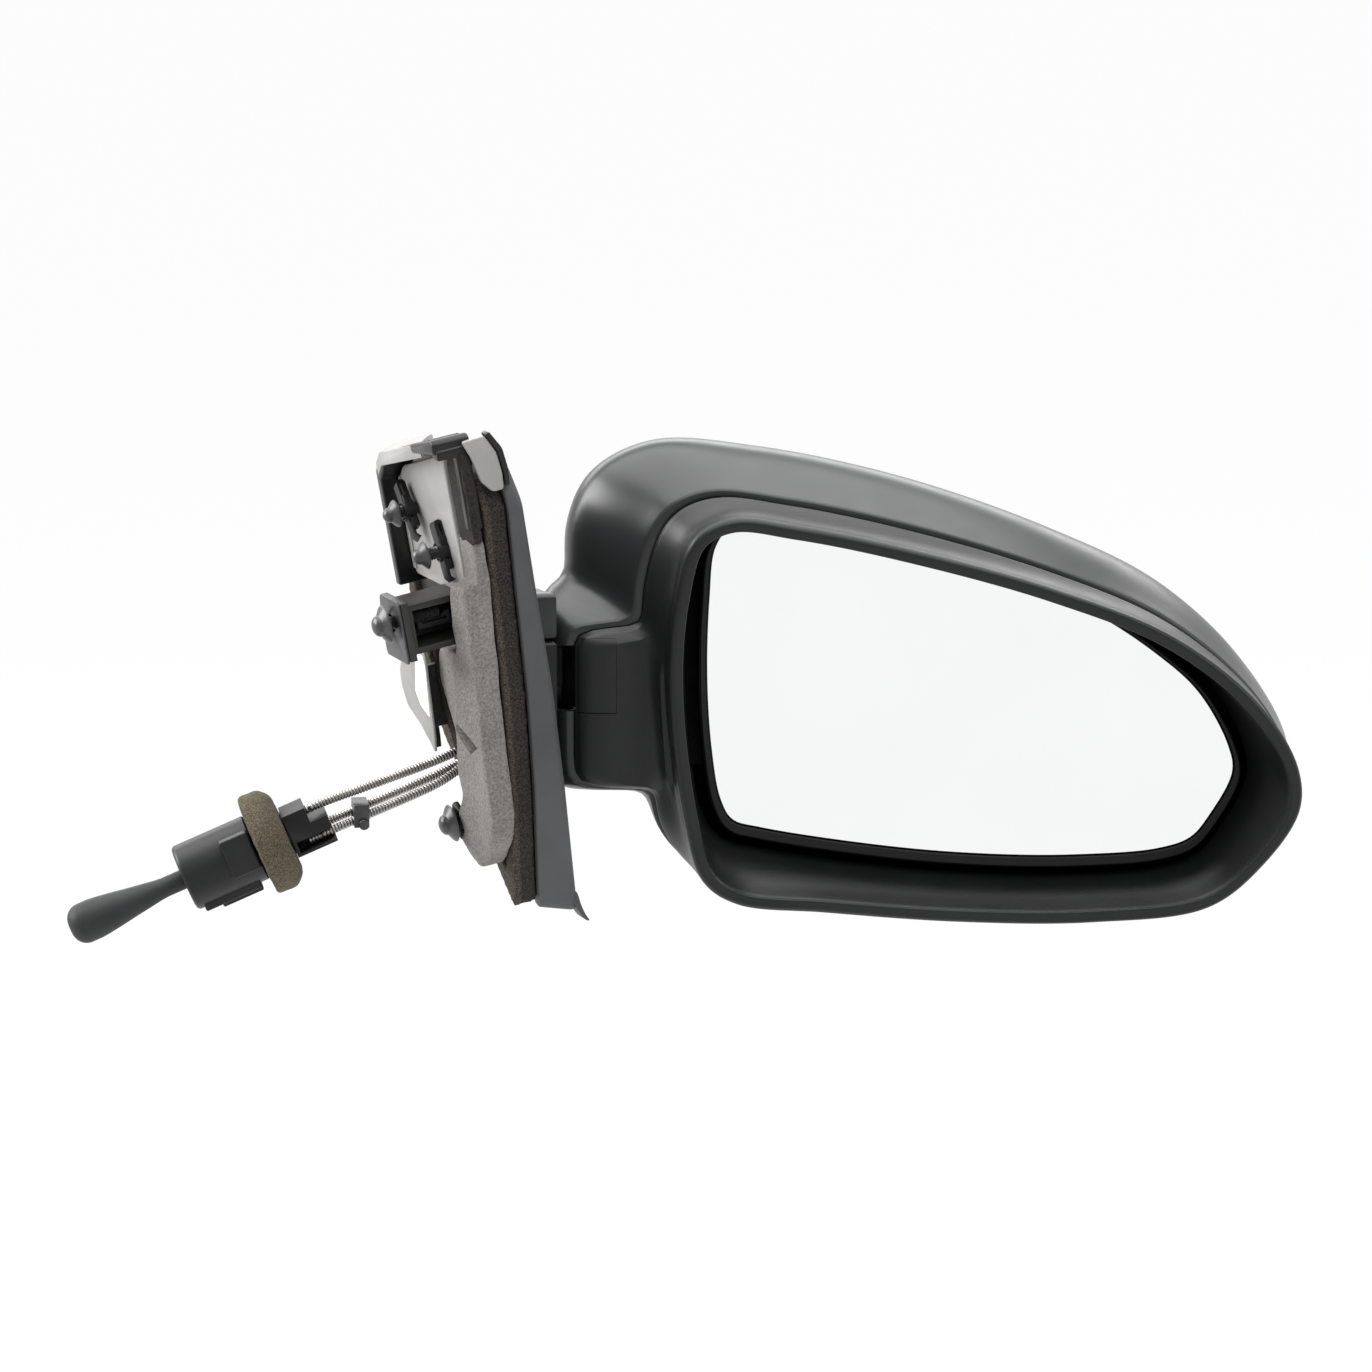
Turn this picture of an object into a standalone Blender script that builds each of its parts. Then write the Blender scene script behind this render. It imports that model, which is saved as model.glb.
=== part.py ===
"""Right-hand car side mirror, set by a stick through three Bowden conduits.

Metres. The origin lies on the door plane, +X points away from the car, +Y forward, +Z up.
The foot has its own frame: f forward along the door, v up along the door, w away from the door.
"""
import math

import bmesh
import bpy
import numpy as np
from mathutils import Matrix, Vector

MM = 0.001

# Fits
GAP = 0.0003

# How the door leans under the foot
DOOR_TOE = math.radians(14.0)
DOOR_LEAN = math.radians(10.0)

# Fold pivot, upright
FOLD_X = 0.048
FOLD_Y = 0.006
FOLD_BACK = math.radians(38.0)
FOLD_FORWARD = math.radians(50.0)

# Head: sections across the depth, drawn in X and Z
HUB_X = 0.110
HUB_Z = -0.005
RIM_Y = -0.031
PART_Y = -0.010
FLARE_Y = -0.026
WAIST_Y = 0.018
NOSE_Y = 0.058
DOME_POWER = 2.2
BULGE = 0.0065
BULGE_AT = math.radians(-138.0)
BULGE_HALF = math.radians(22.0)
HEAD_COUNT = 50
RIM_OUTLINE = [
    (64, 0), (66, 30), (72, 49.5), (84, 55.7), (106, 52.8), (140, 45), (190, 30), (230, 13),
    (259, -10), (273, -32), (274, -47), (262, -65), (244, -78.5), (205, -82), (160, -80),
    (115, -75), (86, -71), (75, -63), (69, -43),
]
WAIST_OUTLINE = [
    (45, 0), (38, 28), (38, 48), (46, 64), (66, 73.8), (101, 71), (150, 59.5), (200, 41),
    (237, 22), (265, -4), (281, -32), (279, -48), (265, -64), (245, -73), (205, -77),
    (160, -75), (115, -71), (88, -66), (72, -54), (57, -28),
]
SKIN = 0.0020
RIM_ROUND = 0.0010
RIM_WIDTH = 0.0045
PART_GROOVE = 0.0012
TONGUE_LENGTH = 0.0040
TONGUE_WALL = 0.0012
TONGUE_PLAY = 0.0006

# Neck of the head, a lobe round the fold pivot
NECK_RADIUS = 0.0215
NECK_TOP = 0.029
NECK_TOP_Y = 0.015
NECK_TOP_FALL = 0.010
NECK_BOTTOM = -0.0385
NECK_BOTTOM_RISE = 0.006
NECK_ROUND_LENGTH = 0.025
NECK_POWER = 12.0
NECK_FILLET_X = 0.014
NECK_FILLET_Y = 0.007
NECK_ROOT_X = 0.066
NECK_BLEND = 16.0

# Window in the neck for the foot's arm, and the access panel behind it
WINDOW_LOW = -0.0095
WINDOW_HIGH = 0.0122
WINDOW_PLAY = math.radians(5.0)
PANEL_LEFT = 0.0372
PANEL_RIGHT = 0.0490
PANEL_LOW = -0.0092
PANEL_HIGH = 0.0150
PANEL_DEPTH_Y = -0.0105

# Glass and carrier
GLASS_OUTLINE = [
    (79.5, 0), (80.2, 26), (82.2, 43), (87, 49), (96, 48.6), (120, 44), (150, 37), (180, 28),
    (207, 18.3), (231, 2.5), (245, -10.5), (255.4, -28.8), (257, -38), (249.5, -52.5),
    (243, -60), (232, -63.4), (205, -64.5), (178, -63.4), (144, -59.7), (97.4, -51.1),
    (88, -48), (84, -41), (81, -24),
]
GLASS_FRONT = -0.0083
GLASS_THICK = 0.0020
PAD_THICK = 0.0005
PAD_INSET = 0.006
CARRIER_LIP = 0.0024
CARRIER_DROP = 0.0014
CARRIER_RISE = 0.0007
CARRIER_FLOOR = 0.0025
RECESS_PLAY = 0.0034
RECESS_Y = -0.0040
FUNNEL_WALL = 0.0016
GLASS_TILT = math.radians(7.0)

# Two-axis joint behind the glass
PIVOT_X = 0.169
PIVOT_Y = 0.005
PIVOT_Z = -0.008
RING_RADIUS = 0.0105
RING_WIRE = 0.0016
PIN_RADIUS = 0.0015
PIN_REACH = 0.0172
EAR_INNER = 0.0130
EAR_OUTER = 0.0160
EAR_HALF = 0.004
SEAT_FRONT = 0.013
SEAT_THICK = 0.003
SEAT_RADIUS = 0.0325
FOOT_RADIUS = 0.0045
FOOT_CIRCLE = 0.0278
WIRE_RADIUS = 0.0006
WIRE_CIRCLE = 0.0205
WIRE_END = 0.0105
WIRE_HOLE = 0.0029
WIRE_HOLE_DEPTH = 0.0020

# Bracket in the head
PLATE_Y = 0.022
PLATE_THICK = 0.0035
PLATE_LEFT = 0.066
PLATE_RIGHT = 0.205
PLATE_LOW = -0.036
PLATE_HIGH = 0.030
PLATE_HOLE = 0.0230
SMALL_SCREW = 0.0015
SMALL_HEAD = 0.0032
CAP_SCREWS = [(112, 25), (92, -26)]
CAP_BOSS = 0.004

# Fold pivot parts, heights above the origin
TUBE_RADIUS = 0.0085
TUBE_WALL = 0.0020
BOSS_LOW = -0.004
BOSS_HIGH = 0.010
BOSS_RADIUS = 0.0135
WASHER_THICK = 0.0012
EYE_THICK = 0.004
EYE_RADIUS = 0.0135
TUBE_LIP = 0.0105
TUBE_LIP_THICK = 0.0015
TUBE_END = -0.019
CUP_RADIUS = 0.0135
CUP_THICK = 0.0018
SPRING_RADIUS = 0.0110
SPRING_WIRE = 0.0010
SPRING_TURNS = 3.0

# Shroud round the pivot
SHROUD_CLEAR = 0.0063
SHROUD_RADIUS = NECK_RADIUS - SHROUD_CLEAR
SHROUD_WALL = 0.0012
SHROUD_SPAN = math.radians(170.0)

# Foot: plate, arm, cover, seal
COVER_OUTLINE = [
    (-14.5, -79.5), (-31, -36), (-42, 0), (-48.5, 35), (-55, 66), (-48, 79), (30, 72), (38, 60),
    (38, 10), (33, -20), (7, -55),
]
COVER_ROUND = 0.005
COVER_LOW = 0.008
COVER_HIGH = 0.0172
COVER_SLOPE = -0.057
COVER_TOE = 0.36
COVER_TOE_START = -0.060
COVER_TOE_LENGTH = 0.015
COVER_WALL = 0.0025
COVER_EDGE = 0.0030
LIP_F = (-16.5, -9.5)
LIP_PROFILE = [
    (-75, 19.3), (-80, 20.0), (-83, 21.2), (-85.6, 22.8), (-86, 23.9), (-83.5, 22.9), (-80, 22.0),
    (-75, 21.0),
]
SEAL_INSET = 0.0015
SEAL_WIDTH = 0.0070
SEAL_HIGH = 0.0077
BRACKET_LOW = 0.0023
BRACKET_THICK = 0.0032
BRACKET_PLAY = 0.0006
ARM_WIDTH = 0.009
ARM_START = 0.003
ARM_STEP = 0.0006
ARM_WINDOW_PLAY = 0.0012
CHANNEL_WIDTH = 0.0042
CHANNEL_HIGH = 0.0085
OPENING_F = 0.009
OPENING_LOW = -0.033
OPENING_HIGH = 0.002
POST_RADIUS = 0.004
COVER_POSTS = [(18, 45), (-19.5, -20), (-30, 62)]
WING_LOW = -0.013
WING_THICK = 0.002
WING_OUTLINE = [(-4, 9), (16, 9), (19, -6), (17, -13), (7, -20), (-1, -24), (-4, -15)]
WEB_THICK = 0.0022

# Door side: screws, clips, block, pad and hood
SCREW_RADIUS = 0.0025
SCREW_HOLE = 0.0028
SCREW_FLANGE = 0.0065
SCREW_FLANGE_THICK = 0.0014
SCREW_DOME = 0.0044
SCREW_DOME_HIGH = 0.0042
SCREW_LENGTH = 0.0200
SCREW_BOSS = 0.0055
PAD_SCREW_HOLE = 0.0040
SCREW_UPPER = (-0.0045, 0.0600)
SCREW_MIDDLE = (-0.0270, 0.0500)
SCREW_SIDE = (-0.0250, 0.0310)
SCREW_LOWER = (-0.0035, -0.0450)
SCREW_SEAT = -0.0125
SCREW_SIDE_SEAT = -0.0290
CLIP_LOW = -0.0122
CLIP_HIGH = -0.0031
CLIP_HALF_F = 0.0042
CLIP_HALF_V = 0.0072
CLIP_LOWER_RADIUS = 0.0052
BLOCK_F = (-0.033, -0.017)
BLOCK_V = (0.021, 0.037)
BLOCK_W = (-0.024, 0.002)
BLOCK_WALL = 0.002
FLANGE_EXTRA = 0.0016
PAD_OUTLINE = [
    (-35, 42.5), (-35, 18), (-9, 16), (-6, 2), (-14, -16), (-13, -34), (-3, -44), (-3, -50),
    (-8, -57), (-13, -60), (-18, -56.5), (-27, -49.5), (-33.6, -41), (-36.4, -20), (-41, 1.5),
    (-45.7, 23), (-49, 35), (-50.5, 42.5),
]
PAD_ROUND = 0.003
PAD_LOW = -0.009
PANEL_LOW_W = -0.0025
UPPER_PANEL = [(9, 39.5), (9, 67.5), (3, 73), (-30, 81), (-38.8, 83.3), (-38.8, 39.5)]
HOOD_LOW = -0.011
HOOD_FLANGE_HIGH = 0.006
HOOD_FLANGE_LOW = 0.0805
HOOD_OUTER = [(13.5, 33), (13.5, 71), (7, 78), (-45, 90), (-52, 87), (-52, 60)]
HOOD_INNER = [(-48.5, 60), (-48.5, 84), (-44, 86), (4.5, 74), (9.8, 68.5), (9.8, 33)]
STRIP_F = (-0.0482, -0.0392)
STRIP_V = (0.0435, 0.0830)
STRIP_W = (-0.0100, -0.0028)
GROMMET_LOW = -0.0327
GROMMET_HIGH = -0.0140
GROMMET_HALF = 0.0087

# Conduits, points in millimetres chosen along their way
CONDUIT_RADIUS = 0.0015
CONDUIT_VALLEY = 0.0012
CONDUIT_BORE = 0.0007
CONDUIT_PLAY = 0.0005
RIB_COUNT = 22
PLAIN_END = 0.004
RIB_END = 0.060
CONDUIT_UPPER = [
    (-14, -7, -26.8), (0, -2.5, -22.4), (8, 1, -19.2), (12.6, 3.2, -12.5), (15.2, 5, -4.5),
    (19.2, 6, 3.2), (26, 6, 6.2), (32, 6, 6.2), (38.5, 6, 6.2), (42.9, 6, 7.9), (44.8, 6, 12.2),
    (44.8, 6, 17),
]
CONDUIT_MIDDLE = [
    (-12, -5.0, -31.5), (0, -0.2, -27.2), (8.2, 3.4, -23.6), (14.6, 5.2, -15.2), (18.6, 5.8, -6.6),
    (23.2, 6, 0.4), (29.5, 6, 3), (36, 6, 3), (41.8, 6, 3), (46.1, 6, 4.8), (48, 6, 9),
    (48, 6, 17),
]
CONDUIT_LOWER = [
    (-12, -9.5, -33.5), (0, -4.3, -28.0), (8.2, -0.6, -24.4), (16.4, 2.8, -17.4), (21.0, 4.8, -9.8),
    (26.0, 6, -3.0), (32.5, 6, -0.2), (39, 6, -0.2), (45, 6, -0.2), (49.3, 6, 1.6), (51.2, 6, 6),
    (51.2, 6, 17),
]
CONDUIT_TOP = 0.0164
HEAD_ROUTE_UPPER = [(45.6, 7.8, 22.4), (48.6, 13, 24.4), (53, 22, 24.8), (59, 29.5, 23.6), (75, 32, 20.5),
                    (100, 32, 16.5), (130, 32, 14), (155, 32, 13)]
HEAD_ROUTE_MIDDLE = [(48.8, 7.8, 21.2), (52, 13, 22.2), (56.6, 22, 21.6), (62.6, 29.5, 19.6), (77, 32, 15.5),
                     (98, 32, 6), (120, 32, -7), (137, 32, -17)]
HEAD_ROUTE_LOWER = [(52, 7.8, 20.0), (55.4, 13, 20.0), (60.2, 22, 18.4), (66, 29.5, 15.4), (80, 32, 9),
                    (105, 32, -8), (135, 33, -25), (172, 33, -23)]
HEAD_RISE = 0.0026
SOCKET_Y = 0.029

# Stick adjuster, along its own axis from the lever's ball
STICK = (-0.0845, -0.015, -0.0563)
STICK_SLOPE = math.radians(22.5)
LEVER_TILT = 2.0 * GLASS_TILT
BALL_RADIUS = 0.0055
STEM_RADIUS = 0.0032
KNOB_RADIUS = 0.0066
LEVER_TIP = 0.0466
HOUSING_RADIUS = 0.0110
HOUSING_BORE = 0.0088
HOUSING_FRONT = 0.0070
HOUSING_BACK = -0.0180
SOCKET_BACK = -0.0030
MOUTH_RADIUS = 0.0072
RAIL_WIDTH = 0.007
RAIL_HIGH = 0.0022
CROSS_PIN = 0.0009
PIN_SLOT_END = HOUSING_RADIUS - 0.0012
CROSS_SLOT = 0.0072
DISC_RADIUS = 0.0048
DISC_Z = -0.0090
DISC_THICK = 0.0014
RING_OUTER = 0.0170
RING_LENGTH = 0.0107
SPIGOT_RADIUS = 0.0072
ANCHOR_HALF = 0.0072
ANCHOR_END = -0.0430
SOCKET_DEPTH = 0.0040
SOCKETS = [(4.6, 0.0), (-2.6, 3.0), (-4.2, -3.0)]
BAND_HALF = 0.0024

MATERIALS = {
    "satin_black": ((0.012, 0.012, 0.013), 0.0, 0.38),
    "grain_black": ((0.014, 0.014, 0.014), 0.0, 0.6),
    "grey_plastic": ((0.05, 0.05, 0.052), 0.0, 0.6),
    "mirror_silver": ((0.93, 0.94, 0.95), 1.0, 0.03),
    "foam_grey": ((0.16, 0.15, 0.14), 0.0, 0.95),
    "foam_dark": ((0.03, 0.026, 0.023), 0.0, 0.95),
    "foam_brown": ((0.10, 0.075, 0.05), 0.0, 0.95),
    "cast_metal": ((0.42, 0.42, 0.42), 1.0, 0.5),
    "steel": ((0.5, 0.49, 0.47), 1.0, 0.35),
    "dark_steel": ((0.10, 0.10, 0.105), 0.8, 0.4),
    "rubber": ((0.02, 0.02, 0.02), 0.0, 0.85),
}

for old in list(bpy.data.objects):
    bpy.data.objects.remove(old, do_unlink=True)
parts = bpy.data.collections.new("car_side_mirror")
tools = bpy.data.collections.new("cutters")
bpy.context.scene.collection.children.link(parts)
bpy.context.scene.collection.children.link(tools)


def make_material(name):
    colour, metal, rough = MATERIALS[name]
    material = bpy.data.materials.new(name)
    material.use_nodes = True
    shader = material.node_tree.nodes["Principled BSDF"]
    shader.inputs["Base Color"].default_value = (*colour, 1.0)
    shader.inputs["Metallic"].default_value = metal
    shader.inputs["Roughness"].default_value = rough
    material.diffuse_color = (*colour, 1.0)
    return material


materials = {name: make_material(name) for name in MATERIALS}


def make_frame(name, matrix):
    frame = bpy.data.objects.new(name, None)
    frame.matrix_world = matrix
    frame.empty_display_size = 0.02
    parts.objects.link(frame)
    return frame


out_axis = Vector((math.cos(DOOR_TOE) * math.cos(DOOR_LEAN), math.sin(DOOR_TOE) * math.cos(DOOR_LEAN),
                   math.sin(DOOR_LEAN)))
forward_axis = Vector((-math.sin(DOOR_TOE), math.cos(DOOR_TOE), 0.0))
up_axis = out_axis.cross(forward_axis)
foot_matrix = Matrix((forward_axis, up_axis, out_axis)).transposed().to_4x4()
foot = make_frame("foot_frame", foot_matrix)
fold = make_frame("fold_axis", Matrix.Translation((FOLD_X, FOLD_Y, 0.0)))
glass_pivot = make_frame("glass_pivot", Matrix.Translation((PIVOT_X, PIVOT_Y, PIVOT_Z)))
stick_matrix = Matrix.Translation(STICK) @ Matrix.Rotation(-(math.pi / 2 + STICK_SLOPE), 4, "Y")
stick = make_frame("lever_pivot", stick_matrix)
bpy.context.view_layer.update()


def place(name, mesh, material=None, frame=None, own_frame=True, matrix=None):
    """Put a mesh in the scene: in its frame's own axes, or in the world's and only carried by the frame."""
    item = bpy.data.objects.new(name, mesh)
    parts.objects.link(item)
    if frame is not None:
        item.parent = frame
        if not own_frame:
            item.matrix_parent_inverse = frame.matrix_world.inverted()
    if matrix is not None:
        item.matrix_basis = matrix
    if material is not None:
        mesh.materials.append(materials[material])
    return item


def as_tool(item):
    if item.name in parts.objects:
        parts.objects.unlink(item)
        tools.objects.link(item)
    item.hide_render = True
    item.display_type = "WIRE"


def combine(target, operation, others):
    for other in others:
        change = target.modifiers.new(operation.lower(), "BOOLEAN")
        change.operation = operation
        change.solver = "EXACT"
        change.object = other
        as_tool(other)
    return target


def cut(target, *others):
    return combine(target, "DIFFERENCE", others)


def join(target, *others):
    return combine(target, "UNION", others)


def mesh_of(item):
    """Turn a curve or a modified object into a plain mesh and drop the object."""
    bpy.context.view_layer.update()
    mesh = bpy.data.meshes.new_from_object(item.evaluated_get(bpy.context.evaluated_depsgraph_get()))
    work = bmesh.new()
    work.from_mesh(mesh)
    bmesh.ops.remove_doubles(work, verts=work.verts, dist=0.000002)
    work.to_mesh(mesh)
    work.free()
    mesh.materials.clear()
    bpy.data.objects.remove(item, do_unlink=True)
    return mesh


def box_mesh(low, high):
    work = bmesh.new()
    bmesh.ops.create_cube(work, size=1.0)
    for vert in work.verts:
        vert.co = Vector([(low[k] + high[k]) / 2 + vert.co[k] * (high[k] - low[k]) for k in range(3)])
    mesh = bpy.data.meshes.new("box")
    work.to_mesh(mesh)
    work.free()
    return mesh


def rod_mesh(radius, start, end, sides=20):
    start = Vector(start)
    end = Vector(end)
    turn = (end - start).to_track_quat("Z", "Y").to_matrix().to_4x4()
    work = bmesh.new()
    bmesh.ops.create_cone(work, cap_ends=True, segments=sides, radius1=radius, radius2=radius,
                          depth=(end - start).length, matrix=Matrix.Translation((start + end) / 2) @ turn)
    mesh = bpy.data.meshes.new("rod")
    work.to_mesh(mesh)
    work.free()
    return mesh


def prism_mesh(loop, low, high):
    """A closed outline in X and Y, drawn out from low to high along Z."""
    curve = bpy.data.curves.new("outline", "CURVE")
    curve.dimensions = "2D"
    curve.fill_mode = "BOTH"
    curve.extrude = (high - low) / 2
    line = curve.splines.new("POLY")
    line.points.add(len(loop) - 1)
    for point, (x, y) in zip(line.points, loop):
        point.co = (x, y, 0.0, 1.0)
    line.use_cyclic_u = True
    item = bpy.data.objects.new("outline", curve)
    parts.objects.link(item)
    mesh = mesh_of(item)
    mesh.transform(Matrix.Translation((0.0, 0.0, (low + high) / 2)))
    return mesh


UPRIGHT = Matrix.Rotation(math.pi / 2, 4, "X")


def slab_mesh(loop, rear, front):
    """A closed outline in X and Z, drawn out along Y from rear to front."""
    mesh = prism_mesh(loop, -front, -rear)
    mesh.transform(UPRIGHT)
    return mesh


def turned_mesh(profile, steps=24):
    """A closed section at +X, outer side from top to bottom, turned about Z."""
    mesh = bpy.data.meshes.new("section")
    count = len(profile)
    closed = profile[0][0] > 1e-9 or profile[-1][0] > 1e-9
    edges = [(k, k + 1) for k in range(count - 1)]
    if closed:
        edges.append((count - 1, 0))
    mesh.from_pydata([(r, 0.0, z) for r, z in profile], edges, [])
    item = bpy.data.objects.new("section", mesh)
    parts.objects.link(item)
    turn = item.modifiers.new("turn", "SCREW")
    turn.steps = steps
    turn.render_steps = steps
    turn.use_merge_vertices = True
    turn.merge_threshold = 0.00001
    return mesh_of(item)


def tube_mesh(points, radii, fineness=2):
    curve = bpy.data.curves.new("tube", "CURVE")
    curve.dimensions = "3D"
    curve.bevel_depth = 1.0
    curve.bevel_resolution = fineness
    curve.use_fill_caps = True
    curve.twist_mode = "MINIMUM"
    line = curve.splines.new("POLY")
    line.points.add(len(points) - 1)
    for point, place_at, radius in zip(line.points, points, radii):
        point.co = (*place_at, 1.0)
        point.radius = radius
    item = bpy.data.objects.new("tube", curve)
    parts.objects.link(item)
    return mesh_of(item)


def loft_mesh(rings, start_pole=None, end_pole=None, closed=False):
    """Faces between rings of equal count. A pole closes an end; closed joins the last ring to the first."""
    rings = [np.asarray(ring, float) for ring in rings]
    count = len(rings[0])
    verts = [tuple(p) for ring in rings for p in ring]
    faces = []
    spans = len(rings) if closed else len(rings) - 1
    for j in range(spans):
        a = j * count
        b = ((j + 1) % len(rings)) * count
        for k in range(count):
            m = (k + 1) % count
            faces.append((a + k, a + m, b + m, b + k))
    for pole, base, flip in ((start_pole, 0, True), (end_pole, (len(rings) - 1) * count, False)):
        if pole is None and not closed:
            ring = [base + k for k in range(count)]
            faces.append(tuple(reversed(ring)) if flip else tuple(ring))
        elif pole is not None:
            verts.append(tuple(pole))
            tip = len(verts) - 1
            for k in range(count):
                m = (k + 1) % count
                faces.append((tip, base + m, base + k) if flip else (tip, base + k, base + m))
    mesh = bpy.data.meshes.new("loft")
    mesh.from_pydata(verts, [], faces)
    work = bmesh.new()
    work.from_mesh(mesh)
    bmesh.ops.recalc_face_normals(work, faces=work.faces)
    work.to_mesh(mesh)
    work.free()
    return mesh


def smooth_path(points, step):
    """An even run of points along a smooth line through the given ones."""
    pts = np.asarray(points, float)
    ends = np.vstack([2 * pts[0] - pts[1], pts, 2 * pts[-1] - pts[-2]])
    dense = []
    for k in range(1, len(ends) - 2):
        a, b, c, d = ends[k - 1:k + 3]
        for t in np.linspace(0, 1, 24, endpoint=False):
            dense.append(0.5 * (2 * b + (c - a) * t + (2 * a - 5 * b + 4 * c - d) * t * t
                                + (3 * b - a - 3 * c + d) * t ** 3))
    dense.append(pts[-1])
    dense = np.array(dense)
    run = np.concatenate([[0.0], np.cumsum(np.linalg.norm(np.diff(dense, axis=0), axis=1))])
    count = max(2, int(round(run[-1] / step)) + 1)
    marks = np.linspace(0, run[-1], count)
    return np.column_stack([np.interp(marks, run, dense[:, k]) for k in range(3)])


def smooth_loop(points):
    """A dense closed smooth line through points in millimetres, in metres, anticlockwise."""
    pts = np.asarray(points, float) * MM
    count = len(pts)
    dense = []
    for k in range(count):
        four = [pts[(k + j) % count] for j in (-1, 0, 1, 2)]
        knots = [0.0]
        for j in range(3):
            knots.append(knots[-1] + np.linalg.norm(four[j + 1] - four[j]) ** 0.5)
        for t in np.linspace(knots[1], knots[2], 20, endpoint=False):
            a = [four[j] + (four[j + 1] - four[j]) * (t - knots[j]) / (knots[j + 1] - knots[j])
                 for j in range(3)]
            b = [a[j] + (a[j + 1] - a[j]) * (t - knots[j]) / (knots[j + 2] - knots[j]) for j in range(2)]
            dense.append(b[0] + (b[1] - b[0]) * (t - knots[1]) / (knots[2] - knots[1]))
    dense = np.array(dense)
    area = np.sum(dense[:, 0] * np.roll(dense[:, 1], -1) - np.roll(dense[:, 0], -1) * dense[:, 1])
    return dense if area > 0 else dense[::-1]


def offset(loop, distance):
    """Move a closed anticlockwise line outward along its normals."""
    loop = np.asarray(loop, float)
    along = np.roll(loop, -1, axis=0) - np.roll(loop, 1, axis=0)
    normal = np.column_stack([along[:, 1], -along[:, 0]])
    normal /= np.linalg.norm(normal, axis=1)[:, None]
    return loop + normal * distance


def even(loop, count):
    """Points at even spacing round a closed line."""
    ring = np.vstack([loop, loop[:1]])
    run = np.concatenate([[0.0], np.cumsum(np.linalg.norm(np.diff(ring, axis=0), axis=1))])
    marks = np.linspace(0, run[-1], count, endpoint=False)
    return np.column_stack([np.interp(marks, run, ring[:, k]) for k in range(2)])


def polar(loop):
    """The reach of a closed line from the hub, as a function of direction."""
    rel = np.asarray(loop, float) - (HUB_X, HUB_Z)
    angle = np.arctan2(rel[:, 1], rel[:, 0])
    order = np.argsort(angle)
    reach = np.linalg.norm(rel, axis=1)[order]
    angle = angle[order]
    return lambda direction: np.interp(direction, angle, reach, period=2 * math.pi)


def rounded(points, radius, scale=MM, arc=2):
    """A polygon with its corners rounded, anticlockwise."""
    pts = [np.asarray(p, float) * scale for p in points]
    area = sum(pts[k][0] * pts[(k + 1) % len(pts)][1] - pts[(k + 1) % len(pts)][0] * pts[k][1]
               for k in range(len(pts)))
    if area < 0:
        pts = pts[::-1]
    loop = []
    for k, corner in enumerate(pts):
        before = pts[k - 1] - corner
        after = pts[(k + 1) % len(pts)] - corner
        reach = min(radius, 0.4 * np.linalg.norm(before), 0.4 * np.linalg.norm(after))
        start = corner + before / np.linalg.norm(before) * reach
        end = corner + after / np.linalg.norm(after) * reach
        for t in np.linspace(0, 1, arc + 1):
            loop.append((1 - t) ** 2 * start + 2 * t * (1 - t) * corner + t * t * end)
    return np.array(loop)


def inset_polygon(points, distance):
    """Move every side of an anticlockwise polygon in millimetres inward, in metres."""
    pts = [Vector(p) * MM for p in points]
    area = sum(pts[k - 1].x * pts[k].y - pts[k].x * pts[k - 1].y for k in range(len(pts)))
    if area < 0:
        pts = pts[::-1]
    moved = []
    for k, corner in enumerate(pts):
        before = (corner - pts[k - 1]).normalized()
        after = (pts[(k + 1) % len(pts)] - corner).normalized()
        inward = Vector((-before.y - after.y, before.x + after.x)).normalized()
        moved.append(corner + inward * distance / max(inward.dot(Vector((-before.y, before.x))), 0.2))
    return moved


def cover_line(inset):
    return rounded(inset_polygon(COVER_OUTLINE, inset), max(COVER_ROUND - inset, COVER_ROUND * 0.3), 1.0)


def cover_high(v):
    """How far the cover's sloping outer face lies from the door at a height on the foot."""
    return COVER_HIGH + COVER_SLOPE * v


def cover_ring(loop, w):
    """A ring of the cover. Its foot runs lower towards the outer face."""
    toe = np.clip((COVER_TOE_START - loop[:, 1]) / COVER_TOE_LENGTH, 0.0, 1.0)
    return np.column_stack([loop[:, 0], loop[:, 1] - COVER_TOE * toe * (w - COVER_LOW), w])


# Head sections

rim_line = smooth_loop(RIM_OUTLINE)
rim_reach = polar(rim_line)
waist_reach = polar(smooth_loop(WAIST_OUTLINE))
glass_line = smooth_loop(GLASS_OUTLINE)
carrier_line = offset(glass_line, CARRIER_LIP) - (0.0, CARRIER_DROP)
recess_reach = polar(offset(carrier_line, RECESS_PLAY))
opening_reach = polar(offset(rim_line, -RIM_WIDTH))
rim_even = even(rim_line, HEAD_COUNT) - (HUB_X, HUB_Z)
directions = np.arctan2(rim_even[:, 1], rim_even[:, 0])


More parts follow.
